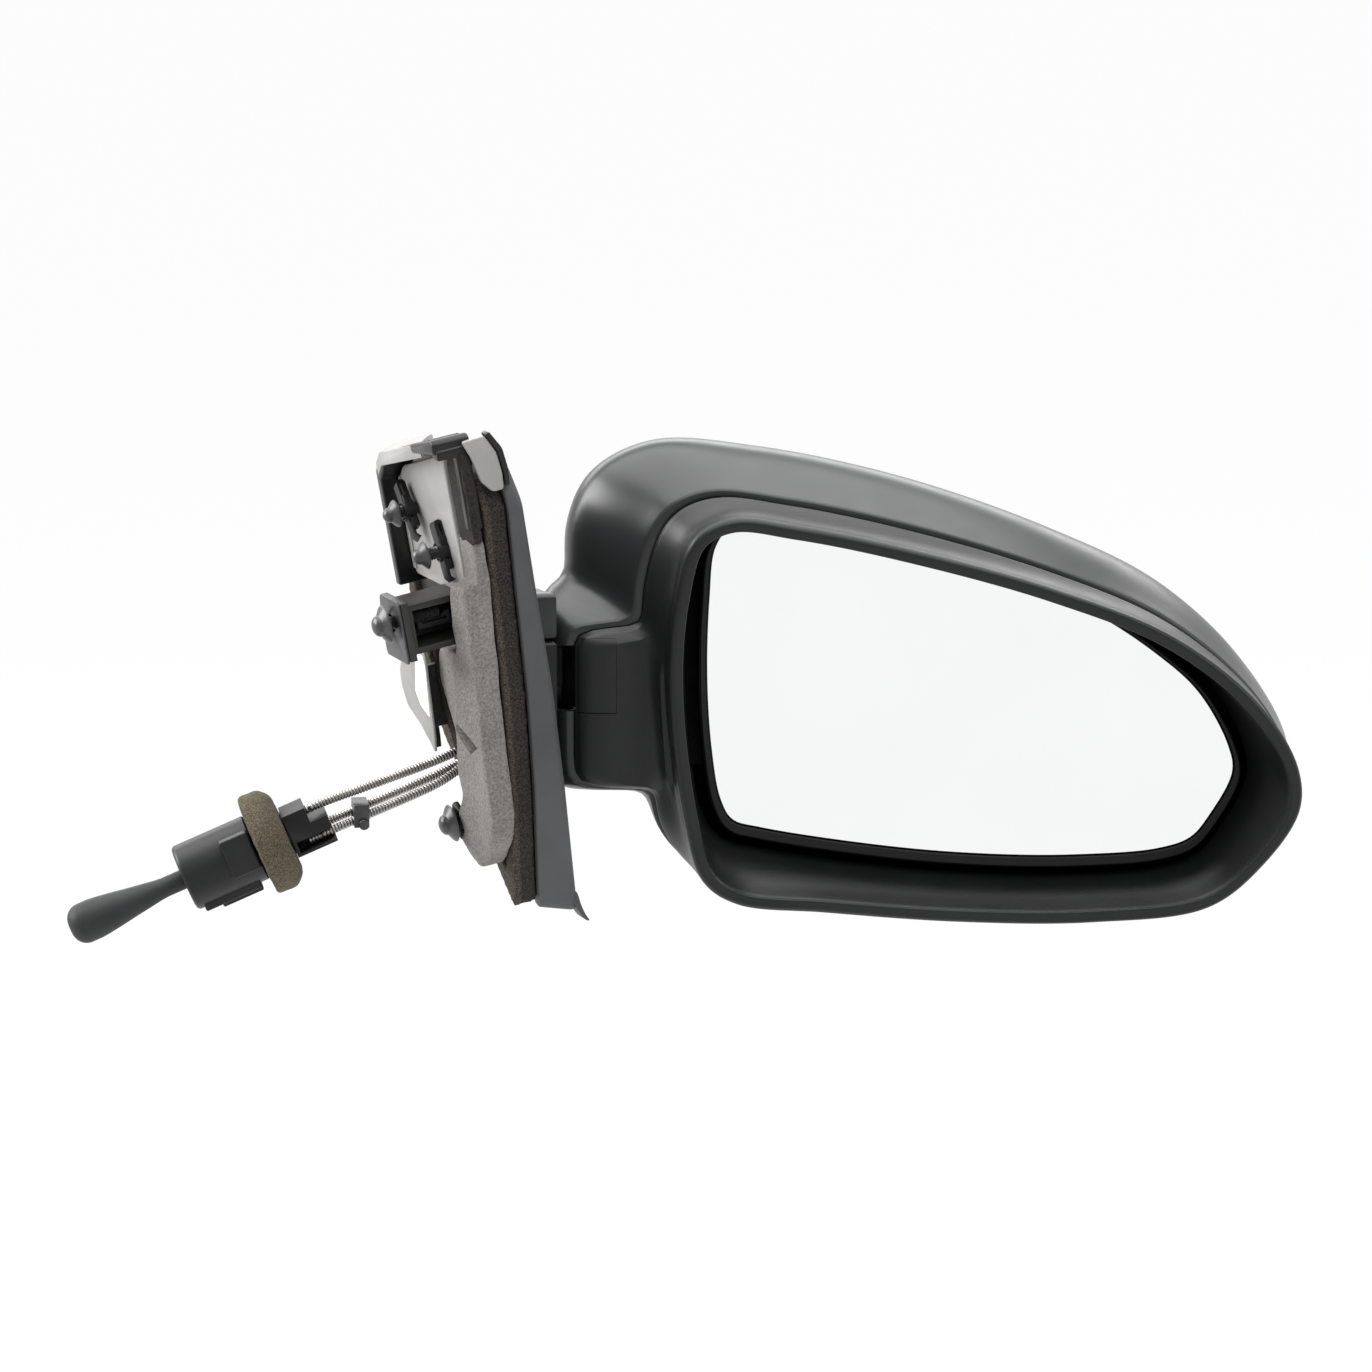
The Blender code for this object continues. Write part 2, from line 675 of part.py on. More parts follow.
def neck_reach(direction, y):
    rear = FOLD_Y - NECK_RADIUS
    front = FOLD_Y + NECK_RADIUS
    shrink = 1.0
    if y <= rear - NECK_FILLET_Y or y >= front + NECK_FILLET_Y:
        return np.zeros_like(direction)
    if y < rear:
        part = (y - rear + NECK_FILLET_Y) / NECK_FILLET_Y
        left = NECK_ROOT_X - NECK_FILLET_X * (1 - math.sqrt(1 - part * part))
    elif y > front:
        left = FOLD_X
        shrink = math.sqrt(1 - ((y - front) / NECK_FILLET_Y) ** 2)
    else:
        left = FOLD_X - math.sqrt(max(NECK_RADIUS ** 2 - (y - FOLD_Y) ** 2, 0.0))
    top = NECK_TOP - NECK_TOP_FALL * ((y - NECK_TOP_Y) / NECK_ROUND_LENGTH) ** 2
    bottom = NECK_BOTTOM + NECK_BOTTOM_RISE * ((y - FOLD_Y) / NECK_ROUND_LENGTH) ** 2
    side = np.clip(-np.cos(direction), 0.0, None) / (HUB_X - left)
    rise = np.sin(direction)
    rise = np.where(rise > 0, rise / (top - HUB_Z), -rise / (HUB_Z - bottom))
    reach = (side ** NECK_POWER + rise ** NECK_POWER) ** (-1.0 / NECK_POWER)
    return np.where(side > 0, reach * shrink, 0.0)


def bulge(direction, y):
    """Swelling of the lower inboard corner, highest at the parting."""
    away = (direction - BULGE_AT + math.pi) % (2 * math.pi) - math.pi
    share = np.where(np.abs(away) < BULGE_HALF, np.cos(away / BULGE_HALF * math.pi / 2) ** 2, 0.0)
    part = (y - FLARE_Y) / (PART_Y - FLARE_Y) if y < PART_Y else (WAIST_Y - y) / (WAIST_Y - PART_Y)
    part = min(max(part, 0.0), 1.0)
    return BULGE * share * part * part * (3 - 2 * part)


def head_reach(direction, y):
    if y <= WAIST_Y:
        part = min(max((y - FLARE_Y) / (WAIST_Y - FLARE_Y), 0.0), 1.0)
        blend = part * part * (3 - 2 * part)
        body = rim_reach(direction) * (1 - blend) + waist_reach(direction) * blend
        body = body + bulge(direction, y)
    else:
        part = min((y - WAIST_Y) / (NOSE_Y - WAIST_Y), 1.0)
        body = waist_reach(direction) * (1 - part ** DOME_POWER) ** (1 / DOME_POWER)
    neck = neck_reach(direction, y)
    return (body ** NECK_BLEND + neck ** NECK_BLEND) ** (1 / NECK_BLEND)


def dome_depth(x, z):
    """How far forward the outer skin of the cap lies at a place in X and Z."""
    rel = (x - HUB_X, z - HUB_Z)
    share = math.hypot(*rel) / float(waist_reach(math.atan2(rel[1], rel[0])))
    return WAIST_Y + (NOSE_Y - WAIST_Y) * (1 - share ** DOME_POWER) ** (1 / DOME_POWER)


def ring_at(reach, y):
    y = np.broadcast_to(y, np.shape(reach))
    return np.column_stack([HUB_X + reach * np.cos(directions), y, HUB_Z + reach * np.sin(directions)])


def skin(stations):
    """Reach, depth and inward normal of the outer skin at each station."""
    reach = np.array([head_reach(directions, y) for y in stations])
    depth = np.repeat(np.asarray(stations, float)[:, None], len(directions), axis=1)
    along_r = np.gradient(reach, axis=0)
    along_y = np.gradient(depth, axis=0)
    size = np.hypot(along_r, along_y)
    return reach, depth, -along_y / size, along_r / size


def inside_ring(y, depth_in):
    """The ring at one depth that lies depth_in under the outer skin, measured square to it."""
    step = 0.0004
    slope = (head_reach(directions, y + step) - head_reach(directions, y - step)) / (2 * step)
    return ring_at(head_reach(directions, y) - depth_in * np.sqrt(1 + np.minimum(slope * slope, 9.0)), y)


# Rear frame of the head

neck_rear = FOLD_Y - NECK_RADIUS
frame_end = PART_Y - PART_GROOVE / 2
tongue_end = PART_Y + PART_GROOVE / 2 + TONGUE_LENGTH
frame_stations = [RIM_Y + RIM_ROUND, neck_rear - NECK_FILLET_Y, neck_rear - 0.003, neck_rear - 0.0001,
                  neck_rear + 0.0004, neck_rear + 0.6 * (frame_end - neck_rear), frame_end, tongue_end]
reach, depth, in_r, in_y = skin(frame_stations)
tongue_out = SKIN + TONGUE_PLAY
tongue_in = tongue_out + TONGUE_WALL
rings = []
for k in range(len(frame_stations) - 2, -1, -1):
    rings.append(ring_at(reach[k], depth[k]))
rings.append(ring_at(reach[0] - RIM_ROUND, RIM_Y))
opening = opening_reach(directions)
recess = recess_reach(directions)
rings.append(ring_at(opening, RIM_Y + RIM_ROUND / 2))
rings.append(ring_at(opening * 0.5 + recess * 0.5, (RIM_Y + RECESS_Y) / 2))
rings.append(ring_at(recess, RECESS_Y))
rings.append(ring_at(recess + FUNNEL_WALL, RECESS_Y))
rings.append(ring_at(opening + FUNNEL_WALL, frame_stations[1] + SKIN / 2))
for k in range(2, len(frame_stations) - 2):
    rings.append(ring_at(reach[k] + in_r[k] * SKIN, depth[k] + in_y[k] * SKIN))
rings.append(inside_ring(frame_end, tongue_in))
rings.append(inside_ring(tongue_end, tongue_in))
rings.append(inside_ring(tongue_end, tongue_out))
rings.append(inside_ring(frame_end, tongue_out))
frame_mesh = loft_mesh(rings, closed=True)
bezel = place("bezel_frame", frame_mesh, "grain_black", fold, own_frame=False)

# Cap of the head

cap_start = PART_Y + PART_GROOVE / 2
cap_stations = [cap_start, tongue_end, 0.001, 0.008, WAIST_Y, 0.0235, FOLD_Y + NECK_RADIUS]
cap_stations += [0.034, 0.042, 0.049, 0.054, 0.0572]
reach, depth, in_r, in_y = skin(cap_stations)
outer = [ring_at(reach[k], depth[k]) for k in range(len(cap_stations))]
inner = [ring_at(reach[k] + in_r[k] * SKIN, depth[k] + in_y[k] * SKIN) for k in (0, 1, 2, 3, 4, 6, 7, 8, 9)]
inner[0] = inside_ring(cap_start, SKIN)
inner[1] = inside_ring(tongue_end, SKIN)
shell = list(reversed(inner)) + outer
cap_mesh = loft_mesh(shell, start_pole=(HUB_X, NOSE_Y - SKIN, HUB_Z), end_pole=(HUB_X, NOSE_Y, HUB_Z))
cap = place("upper_cap", cap_mesh, "satin_black", fold, own_frame=False)
cap_screw_places = [(x * MM, z * MM) for x, z in CAP_SCREWS]
for x, z in cap_screw_places:
    boss_end = dome_depth(x, z) - SKIN / 2
    boss = place("cap_boss", rod_mesh(CAP_BOSS, (x, PLATE_Y + PLATE_THICK + GAP, z), (x, boss_end, z), 10))
    join(cap, boss)
for x, z in cap_screw_places:
    hole = rod_mesh(SMALL_SCREW + GAP, (x, PLATE_Y, z), (x, PLATE_Y + 0.013, z), 12)
    cut(cap, place("cap_boss_hole", hole))

# Window in the neck, swept by the foot's arm

arm_half = math.asin(ARM_WIDTH / 2 / NECK_RADIUS)
window_from = math.pi - FOLD_FORWARD - arm_half - WINDOW_PLAY
window_to = math.pi + FOLD_BACK + arm_half + WINDOW_PLAY
window_loop = []
for part in np.linspace(window_from, window_to, 14):
    reach_out = 1.4 * NECK_RADIUS
    window_loop.append((FOLD_X + reach_out * math.cos(part), FOLD_Y + reach_out * math.sin(part)))
for part in np.linspace(window_to, window_from, 8):
    reach_in = 0.66 * NECK_RADIUS
    window_loop.append((FOLD_X + reach_in * math.cos(part), FOLD_Y + reach_in * math.sin(part)))
window = place("neck_window", prism_mesh(window_loop, WINDOW_LOW, WINDOW_HIGH))
panel_low = (PANEL_LEFT, neck_rear - 0.004, PANEL_LOW)
panel_high = (PANEL_RIGHT, PANEL_DEPTH_Y, PANEL_HIGH)
panel = place("pivot_access_cover", frame_mesh.copy(), None, fold, own_frame=False)
panel.data.materials.clear()
panel.data.materials.append(materials["satin_black"])
panel_box = place("panel_box", box_mesh(panel_low, panel_high))
combine(panel, "INTERSECT", [panel_box])
panel_hole = place("panel_hole", box_mesh([c - GAP for c in panel_low], [c + GAP for c in panel_high]))
cut(bezel, window, panel_hole)
cut(cap, window)

# Glass, carrier and its two-axis joint

glass_even = even(glass_line, HEAD_COUNT) - (HUB_X, HUB_Z)
glass_directions = np.arctan2(glass_even[:, 1], glass_even[:, 0])


def glass_ring(line, y):
    reach = polar(line)(glass_directions)
    return np.column_stack([HUB_X + reach * np.cos(glass_directions), np.full(len(reach), y),
                            HUB_Z + reach * np.sin(glass_directions)])


glass_loop = glass_ring(glass_line, 0.0)[:, [0, 2]]
floor_y = GLASS_FRONT + GLASS_THICK + PAD_THICK + 2 * GAP
carrier_back = floor_y + CARRIER_FLOOR
carrier_front = GLASS_FRONT - CARRIER_RISE
place("mirror_glass", slab_mesh(glass_loop, GLASS_FRONT, GLASS_FRONT + GLASS_THICK), "mirror_silver",
      glass_pivot, own_frame=False)
pad_loop = even(offset(glass_line, -PAD_INSET), 32)
pad_rear = GLASS_FRONT + GLASS_THICK + GAP
place("adhesive_pad", slab_mesh(pad_loop, pad_rear, pad_rear + PAD_THICK), "foam_dark", glass_pivot,
      own_frame=False)
pocket_line = offset(glass_line, GAP)
carrier_rings = [glass_ring(carrier_line, carrier_back), glass_ring(carrier_line, carrier_front),
                 glass_ring(pocket_line, carrier_front), glass_ring(pocket_line, floor_y)]
carrier = place("glass_carrier", loft_mesh(carrier_rings), "grain_black", glass_pivot, own_frame=False)
ear_reach = PIVOT_Y + EAR_HALF
for sign in (-1, 1):
    near = PIVOT_Z + sign * EAR_INNER
    far = PIVOT_Z + sign * EAR_OUTER
    ear = place("carrier_ear", box_mesh((PIVOT_X - EAR_HALF, carrier_back - 0.001, min(near, far)),
                                        (PIVOT_X + EAR_HALF, ear_reach, max(near, far))))
    join(carrier, ear)
pin_hole = PIN_RADIUS + GAP
far = EAR_OUTER + 0.003
hole = rod_mesh(pin_hole, (PIVOT_X, PIVOT_Y, PIVOT_Z - far), (PIVOT_X, PIVOT_Y, PIVOT_Z + far), 16)
cut(carrier, place("carrier_pin_hole", hole))

ring_turn = turned_mesh([(RING_RADIUS + RING_WIRE, RING_WIRE), (RING_RADIUS + RING_WIRE, -RING_WIRE),
                         (RING_RADIUS - RING_WIRE, -RING_WIRE), (RING_RADIUS - RING_WIRE, RING_WIRE)], 24)
ring_turn.transform(UPRIGHT)
gimbal = place("gimbal_ring", ring_turn, "steel", glass_pivot)
for axis in (Vector((1, 0, 0)), Vector((0, 0, 1))):
    for sign in (-1, 1):
        pin = rod_mesh(PIN_RADIUS, axis * sign * RING_RADIUS, axis * sign * PIN_REACH, 10)
        join(gimbal, place("gimbal_pin", pin, None, glass_pivot))

seat_back = SEAT_FRONT + SEAT_THICK
feet = [math.radians(a) for a in (30, 150, 270)]
wires = [math.radians(a) for a in (90, 210, 330)]


def around(radius, angle):
    return PIVOT_X + radius * math.cos(angle), PIVOT_Z + radius * math.sin(angle)


seat_disc = rod_mesh(SEAT_RADIUS, (PIVOT_X, SEAT_FRONT, PIVOT_Z), (PIVOT_X, seat_back, PIVOT_Z), 24)
seat = place("actuator_base", seat_disc,
             "satin_black", fold, own_frame=False)
for sign in (-1, 1):
    near = PIVOT_X + sign * EAR_INNER
    far = PIVOT_X + sign * EAR_OUTER
    ear = place("seat_ear", box_mesh((min(near, far), PIVOT_Y - EAR_HALF + 0.0005, PIVOT_Z - EAR_HALF),
                                     (max(near, far), SEAT_FRONT + 0.001, PIVOT_Z + EAR_HALF)))
    join(seat, ear)
foot_end = PLATE_Y - GAP
for angle in feet:
    x, z = around(FOOT_CIRCLE, angle)
    join(seat, place("seat_foot", rod_mesh(FOOT_RADIUS, (x, seat_back - 0.001, z), (x, foot_end, z), 12)))
far = EAR_OUTER + 0.003
hole = rod_mesh(pin_hole, (PIVOT_X - far, PIVOT_Y, PIVOT_Z), (PIVOT_X + far, PIVOT_Y, PIVOT_Z), 16)
cut(seat, place("seat_pin_hole", hole))
for angle in feet:
    x, z = around(FOOT_CIRCLE, angle)
    hole = rod_mesh(SMALL_SCREW + GAP, (x, seat_back - 0.001, z), (x, PLATE_Y + 0.001, z), 12)
    cut(seat, place("seat_screw_hole", hole))
wire_names = ("upper", "left", "right")
for name, angle in zip(wire_names, wires):
    x, z = around(WIRE_CIRCLE, angle)
    hole = rod_mesh(WIRE_HOLE, (x, SEAT_FRONT - 0.001, z), (x, SEAT_FRONT + WIRE_HOLE_DEPTH, z), 12)
    cut(seat, place("wire_hole", hole))
    wire_end = rod_mesh(WIRE_RADIUS, (x, carrier_back + GAP, z), (x, WIRE_END, z), 10)
    place("pull_wire_" + name, wire_end, "steel",
          glass_pivot, own_frame=False)

# Bracket in the head

eye_low = BOSS_HIGH + WASHER_THICK + 2 * GAP
eye_high = eye_low + EYE_THICK
bore = TUBE_RADIUS + GAP
plate_front = PLATE_Y + PLATE_THICK
head_plate = box_mesh((PLATE_LEFT, PLATE_Y, PLATE_LOW), (PLATE_RIGHT, plate_front, PLATE_HIGH))
bracket = place("head_bracket", head_plate,
                "cast_metal", fold, own_frame=False)
tongue = box_mesh((FOLD_X + 0.004, FOLD_Y - 0.005, eye_low), (0.072, plate_front - 0.0005, eye_high))
eye = rod_mesh(EYE_RADIUS, (FOLD_X, FOLD_Y, eye_low), (FOLD_X, FOLD_Y, eye_high), 28)
join(bracket, place("bracket_tongue", tongue), place("bracket_eye", eye))
hole = rod_mesh(bore, (FOLD_X, FOLD_Y, eye_low - 0.002), (FOLD_X, FOLD_Y, eye_high + 0.002), 28)
cut(bracket, place("bracket_eye_hole", hole))
hole = rod_mesh(PLATE_HOLE, (PIVOT_X, PLATE_Y - 0.002, PIVOT_Z), (PIVOT_X, plate_front + 0.002, PIVOT_Z), 28)
cut(bracket, place("bracket_plate_hole", hole))
screw_places = [around(FOOT_CIRCLE, angle) for angle in feet] + cap_screw_places
for x, z in screw_places:
    hole = rod_mesh(SMALL_SCREW + GAP, (x, PLATE_Y - 0.002, z), (x, plate_front + 0.002, z), 12)
    cut(bracket, place("bracket_screw_hole", hole))


def small_screw(name, x, z, seat_y, sign):
    """A pan-head screw along Y, its head's underside at seat_y and its shank along sign."""
    profile = [(0.0, 0.0022), (0.0022, 0.0020), (SMALL_HEAD, 0.0010), (SMALL_HEAD, GAP), (SMALL_SCREW, GAP),
               (SMALL_SCREW, -0.0078), (0.0, -0.0086)]
    mesh = turned_mesh(profile, 12)
    turn = Matrix.Rotation(math.pi / 2 * sign, 4, "X")
    return place(name, mesh, "steel", fold, own_frame=False, matrix=Matrix.Translation((x, seat_y, z)) @ turn)


for k, angle in enumerate(feet):
    small_screw("actuator_screw_%d" % (k + 1), *around(FOOT_CIRCLE, angle), plate_front, -1)
for k, (x, z) in enumerate(cap_screw_places):
    small_screw("cap_screw_%d" % (k + 1), x, z, PLATE_Y, 1)

# Fold pivot

tube_bore = TUBE_RADIUS - TUBE_WALL
lip_low = eye_high + GAP
lip_high = lip_low + TUBE_LIP_THICK
tube_profile = [(TUBE_LIP, lip_high), (TUBE_LIP, lip_low), (TUBE_RADIUS, lip_low),
                (TUBE_RADIUS, TUBE_END), (tube_bore, TUBE_END), (tube_bore, lip_high)]
tube = place("pivot_tube", turned_mesh(tube_profile, 28), "steel", fold)
cable_hole = box_mesh((-0.014, -CHANNEL_WIDTH / 2, BOSS_LOW + 0.001), (0.0, CHANNEL_WIDTH / 2, CHANNEL_HIGH))
cut(tube, place("tube_cable_hole", cable_hole, None, fold))
washer_low = BOSS_HIGH + GAP
washer_high = washer_low + WASHER_THICK
washer_profile = [(EYE_RADIUS, washer_high), (EYE_RADIUS, washer_low)]
washer_profile += [(bore, washer_low), (bore, washer_high)]
place("thrust_washer", turned_mesh(washer_profile, 24), "steel", fold)
cup_low = TUBE_END + 0.0005
cup_high = cup_low + CUP_THICK
cup_profile = [(CUP_RADIUS, cup_high), (CUP_RADIUS, cup_low), (bore, cup_low), (bore, cup_high)]
place("spring_cup", turned_mesh(cup_profile, 24), "steel", fold)
spring_low = cup_high + GAP + SPRING_WIRE
spring_high = BOSS_LOW - GAP - SPRING_WIRE
coil = []
for part in np.linspace(0, 1, int(SPRING_TURNS * 10) + 1):
    turn = part * SPRING_TURNS * 2 * math.pi
    height = spring_low + (spring_high - spring_low) * part
    coil.append((SPRING_RADIUS * math.cos(turn), SPRING_RADIUS * math.sin(turn), height))
place("fold_spring", tube_mesh(coil, [SPRING_WIRE] * len(coil), 1), "steel", fold)

# Foot: bracket plate with bosses, wing and arm

seal_inner = SEAL_INSET + SEAL_WIDTH
bracket_loop = cover_line(seal_inner + BRACKET_PLAY)
bracket_high = BRACKET_LOW + BRACKET_THICK
base = place("base_bracket", prism_mesh(bracket_loop, BRACKET_LOW, bracket_high), "cast_metal", foot)
door_screws = {"upper": SCREW_UPPER, "middle": SCREW_MIDDLE, "lower": SCREW_LOWER}
for f, v in door_screws.values():
    boss = rod_mesh(SCREW_BOSS, (f, v, 0.0), (f, v, BRACKET_LOW + 0.001), 16)
    join(base, place("screw_boss", boss, None, foot))
for f, v in COVER_POSTS:
    post = rod_mesh(POST_RADIUS, (f * MM, v * MM, bracket_high - 0.001),
                    (f * MM, v * MM, cover_high(v * MM + POST_RADIUS) - COVER_WALL - GAP), 14)
    join(base, place("cover_post", post, None, foot))
wing = place("wing", prism_mesh(rounded(WING_OUTLINE, 0.004), WING_LOW, WING_LOW + WING_THICK), None, foot)
web = place("wing_web", box_mesh((-0.004, -0.012, WING_LOW + 0.0005), (-0.004 + WEB_THICK, 0.0085,
                                                                   BRACKET_LOW + 0.001)), None, foot)
opening = box_mesh((-OPENING_F, OPENING_LOW, -0.004), (OPENING_F, OPENING_HIGH, 0.008))
cut(base, place("cable_opening", opening, None, foot))
join(base, wing, web)
arm = place("arm", box_mesh((ARM_START, FOLD_Y - ARM_WIDTH / 2, BOSS_LOW + ARM_STEP),
                            (FOLD_X, FOLD_Y + ARM_WIDTH / 2, BOSS_HIGH - ARM_STEP)))
boss = place("arm_boss", rod_mesh(BOSS_RADIUS, (FOLD_X, FOLD_Y, BOSS_LOW), (FOLD_X, FOLD_Y, BOSS_HIGH), 28))
join(base, arm, boss)
channel = box_mesh((ARM_START - 0.008, FOLD_Y - CHANNEL_WIDTH / 2, BOSS_LOW - 0.02),
                   (FOLD_X, FOLD_Y + CHANNEL_WIDTH / 2, CHANNEL_HIGH))
hole = rod_mesh(bore, (FOLD_X, FOLD_Y, BOSS_LOW - 0.002), (FOLD_X, FOLD_Y, BOSS_HIGH + 0.002), 28)
cut(base, place("arm_channel", channel), place("arm_boss_hole", hole))
for f, v in door_screws.values():
    hole = rod_mesh(SCREW_HOLE, (f, v, -0.002), (f, v, bracket_high + 0.002), 16)
    cut(base, place("screw_hole", hole, None, foot))

# Shroud on the arm, which closes the neck's window from inside

shroud_sweep = []
shroud_half = SHROUD_SPAN / 2
for part in np.linspace(math.pi - shroud_half, math.pi + shroud_half, 13):
    shroud_sweep.append((SHROUD_RADIUS * math.cos(part), SHROUD_RADIUS * math.sin(part)))
for part in np.linspace(math.pi + shroud_half, math.pi - shroud_half, 13):
    reach_in = SHROUD_RADIUS - SHROUD_WALL
    shroud_sweep.append((reach_in * math.cos(part), reach_in * math.sin(part)))
shroud_mesh = prism_mesh(shroud_sweep, WINDOW_LOW + GAP, BOSS_HIGH + WASHER_THICK)
shroud = place("arm_shroud", shroud_mesh, "grain_black", fold)
arm_room = box_mesh((-0.030, -ARM_WIDTH / 2 - GAP, BOSS_LOW + ARM_STEP - GAP),
                    (0.0, ARM_WIDTH / 2 + GAP, BOSS_HIGH - ARM_STEP + GAP))
cut(shroud, place("shroud_arm_hole", arm_room, None, fold))

# Foot: cover and seal

cover_rings = []
for inset, share in ((0.0, None), (0.0, 1.0), (0.3, 0.3), (1.0, 0.0)):
    loop = cover_line(inset * COVER_EDGE)
    high = cover_high(loop[:, 1])
    edge = np.minimum(COVER_EDGE, 0.5 * (high - COVER_LOW))
    w = np.full(len(loop), COVER_LOW) if share is None else high - share * edge
    cover_rings.append(cover_ring(loop, w))
cover = place("base_cover", loft_mesh(cover_rings), "grey_plastic", foot)
lip_rings = [np.array([(f, v, w) for v, w in LIP_PROFILE]) * MM for f in LIP_F]
join(cover, place("cover_lip", loft_mesh(lip_rings), None, foot))
hollow_loop = cover_line(COVER_WALL)
hollow = loft_mesh([np.column_stack([hollow_loop, np.full(len(hollow_loop), COVER_LOW - 0.002)]),
                    np.column_stack([hollow_loop, cover_high(hollow_loop[:, 1]) - COVER_WALL])])
cut(cover, place("cover_hollow", hollow, None, foot))
play = ARM_WINDOW_PLAY
arm_window = box_mesh((0.004, FOLD_Y - ARM_WIDTH / 2 - play, -0.020), (0.034, FOLD_Y + ARM_WIDTH / 2 + play,
                                                                     BOSS_HIGH + play))
cut(cover, place("cover_arm_window", arm_window))
seal = place("door_gasket", prism_mesh(cover_line(SEAL_INSET), 0.0, SEAL_HIGH), "foam_dark", foot)
cut(seal, place("gasket_opening", prism_mesh(cover_line(seal_inner), -0.002, SEAL_HIGH + 0.002), None, foot))

# Door side

screw_profile = [(0.0, SCREW_FLANGE_THICK + SCREW_DOME_HIGH), (SCREW_DOME * 0.6, SCREW_FLANGE_THICK
                                                              + SCREW_DOME_HIGH * 0.85),
                 (SCREW_DOME, SCREW_FLANGE_THICK + SCREW_DOME_HIGH * 0.35), (SCREW_DOME, SCREW_FLANGE_THICK),
                 (SCREW_FLANGE, SCREW_FLANGE_THICK * 0.6), (SCREW_FLANGE, 0.0), (SCREW_RADIUS, 0.0),
                 (SCREW_RADIUS, -SCREW_LENGTH + 0.002), (0.0, -SCREW_LENGTH)]
FACE_DOOR = Matrix.Rotation(math.pi, 4, "X")
for name, (f, v), seat_w in (("upper", SCREW_UPPER, SCREW_SEAT), ("middle", SCREW_MIDDLE, SCREW_SEAT),
                             ("lower", SCREW_LOWER, SCREW_SEAT), ("side", SCREW_SIDE, SCREW_SIDE_SEAT)):
    place("door_screw_" + name, turned_mesh(screw_profile, 14), "dark_steel", foot,
          matrix=Matrix.Translation((f, v, seat_w)) @ FACE_DOOR)
for name, (f, v) in (("upper", SCREW_UPPER), ("middle", SCREW_MIDDLE)):
    clip_box = box_mesh((f - CLIP_HALF_F, v - CLIP_HALF_V, CLIP_LOW),
                        (f + CLIP_HALF_F, v + CLIP_HALF_V, CLIP_HIGH))
    clip = place("screw_clip_" + name, clip_box, "satin_black", foot)
    hole = rod_mesh(SCREW_HOLE, (f, v, CLIP_LOW - 0.002), (f, v, CLIP_HIGH + 0.002), 16)
    cut(clip, place("clip_hole", hole, None, foot))
f, v = SCREW_LOWER
clip = place("screw_clip_lower", rod_mesh(CLIP_LOWER_RADIUS, (f, v, CLIP_LOW), (f, v, PAD_LOW - GAP), 16),
             "satin_black", foot)
hole = rod_mesh(SCREW_HOLE, (f, v, CLIP_LOW - 0.002), (f, v, PAD_LOW + 0.002), 16)
cut(clip, place("clip_hole", hole, None, foot))

block_box = box_mesh((BLOCK_F[0], BLOCK_V[0], BLOCK_W[0]), (BLOCK_F[1], BLOCK_V[1], BLOCK_W[1]))
block = place("clip_block", block_box, "satin_black", foot)
flange = box_mesh((BLOCK_F[0] - FLANGE_EXTRA, BLOCK_V[0] - FLANGE_EXTRA, BLOCK_W[0] - BLOCK_WALL),
                  (BLOCK_F[1] + FLANGE_EXTRA, BLOCK_V[1] + FLANGE_EXTRA, BLOCK_W[0] + 0.0005))
join(block, place("block_flange", flange, None, foot))
pit = box_mesh((BLOCK_F[0] - 0.001, BLOCK_V[0] + BLOCK_WALL, BLOCK_W[0] + BLOCK_WALL),
               (BLOCK_F[1] - BLOCK_WALL, BLOCK_V[1] - BLOCK_WALL, BLOCK_W[1] - BLOCK_WALL))
f, v = SCREW_SIDE
hole = rod_mesh(SCREW_HOLE, (f, v, BLOCK_W[0] - 0.006), (f, v, BLOCK_W[0] + 0.006), 16)
cut(block, place("block_pit", pit, None, foot), place("block_hole", hole, None, foot))

pad_loop = rounded(PAD_OUTLINE, 0.004)
pad_high = -GAP
pad_rings = []
for inset, w in ((PAD_ROUND, PAD_LOW), (0.3 * PAD_ROUND, PAD_LOW + 0.3 * PAD_ROUND),
                 (0.0, PAD_LOW + PAD_ROUND), (0.0, pad_high)):
    loop = offset(pad_loop, -inset)
    pad_rings.append(np.column_stack([loop, np.full(len(loop), w)]))
pad = place("foam_pad", loft_mesh(pad_rings), "foam_grey", foot)
join(pad, place("upper_panel", prism_mesh(rounded(UPPER_PANEL, 0.003), PANEL_LOW_W, pad_high), None, foot))
for f, v in door_screws.values():
    hole = rod_mesh(PAD_SCREW_HOLE, (f, v, PAD_LOW - 0.002), (f, v, 0.002), 16)
    cut(pad, place("pad_screw_hole", hole, None, foot))

hood_walls = prism_mesh([(x * MM, y * MM) for x, y in HOOD_OUTER + HOOD_INNER], HOOD_LOW, -GAP)
hood = place("corner_hood", hood_walls, "grey_plastic", foot)
hood_rear = HOOD_OUTER[-1][0] * MM
hood_wall = HOOD_INNER[0][0] * MM
hood_flange = box_mesh((hood_rear, HOOD_FLANGE_LOW, -0.001),
                       (hood_wall, HOOD_INNER[1][1] * MM, HOOD_FLANGE_HIGH))
join(hood, place("hood_flange", hood_flange, None, foot))
place("hood_foam_strip", box_mesh((STRIP_F[0], STRIP_V[0], STRIP_W[0]), (STRIP_F[1], STRIP_V[1], STRIP_W[1])),
      "foam_brown", foot)

# Conduits, from the stick's anchor through the foot and the arm up the pivot tube

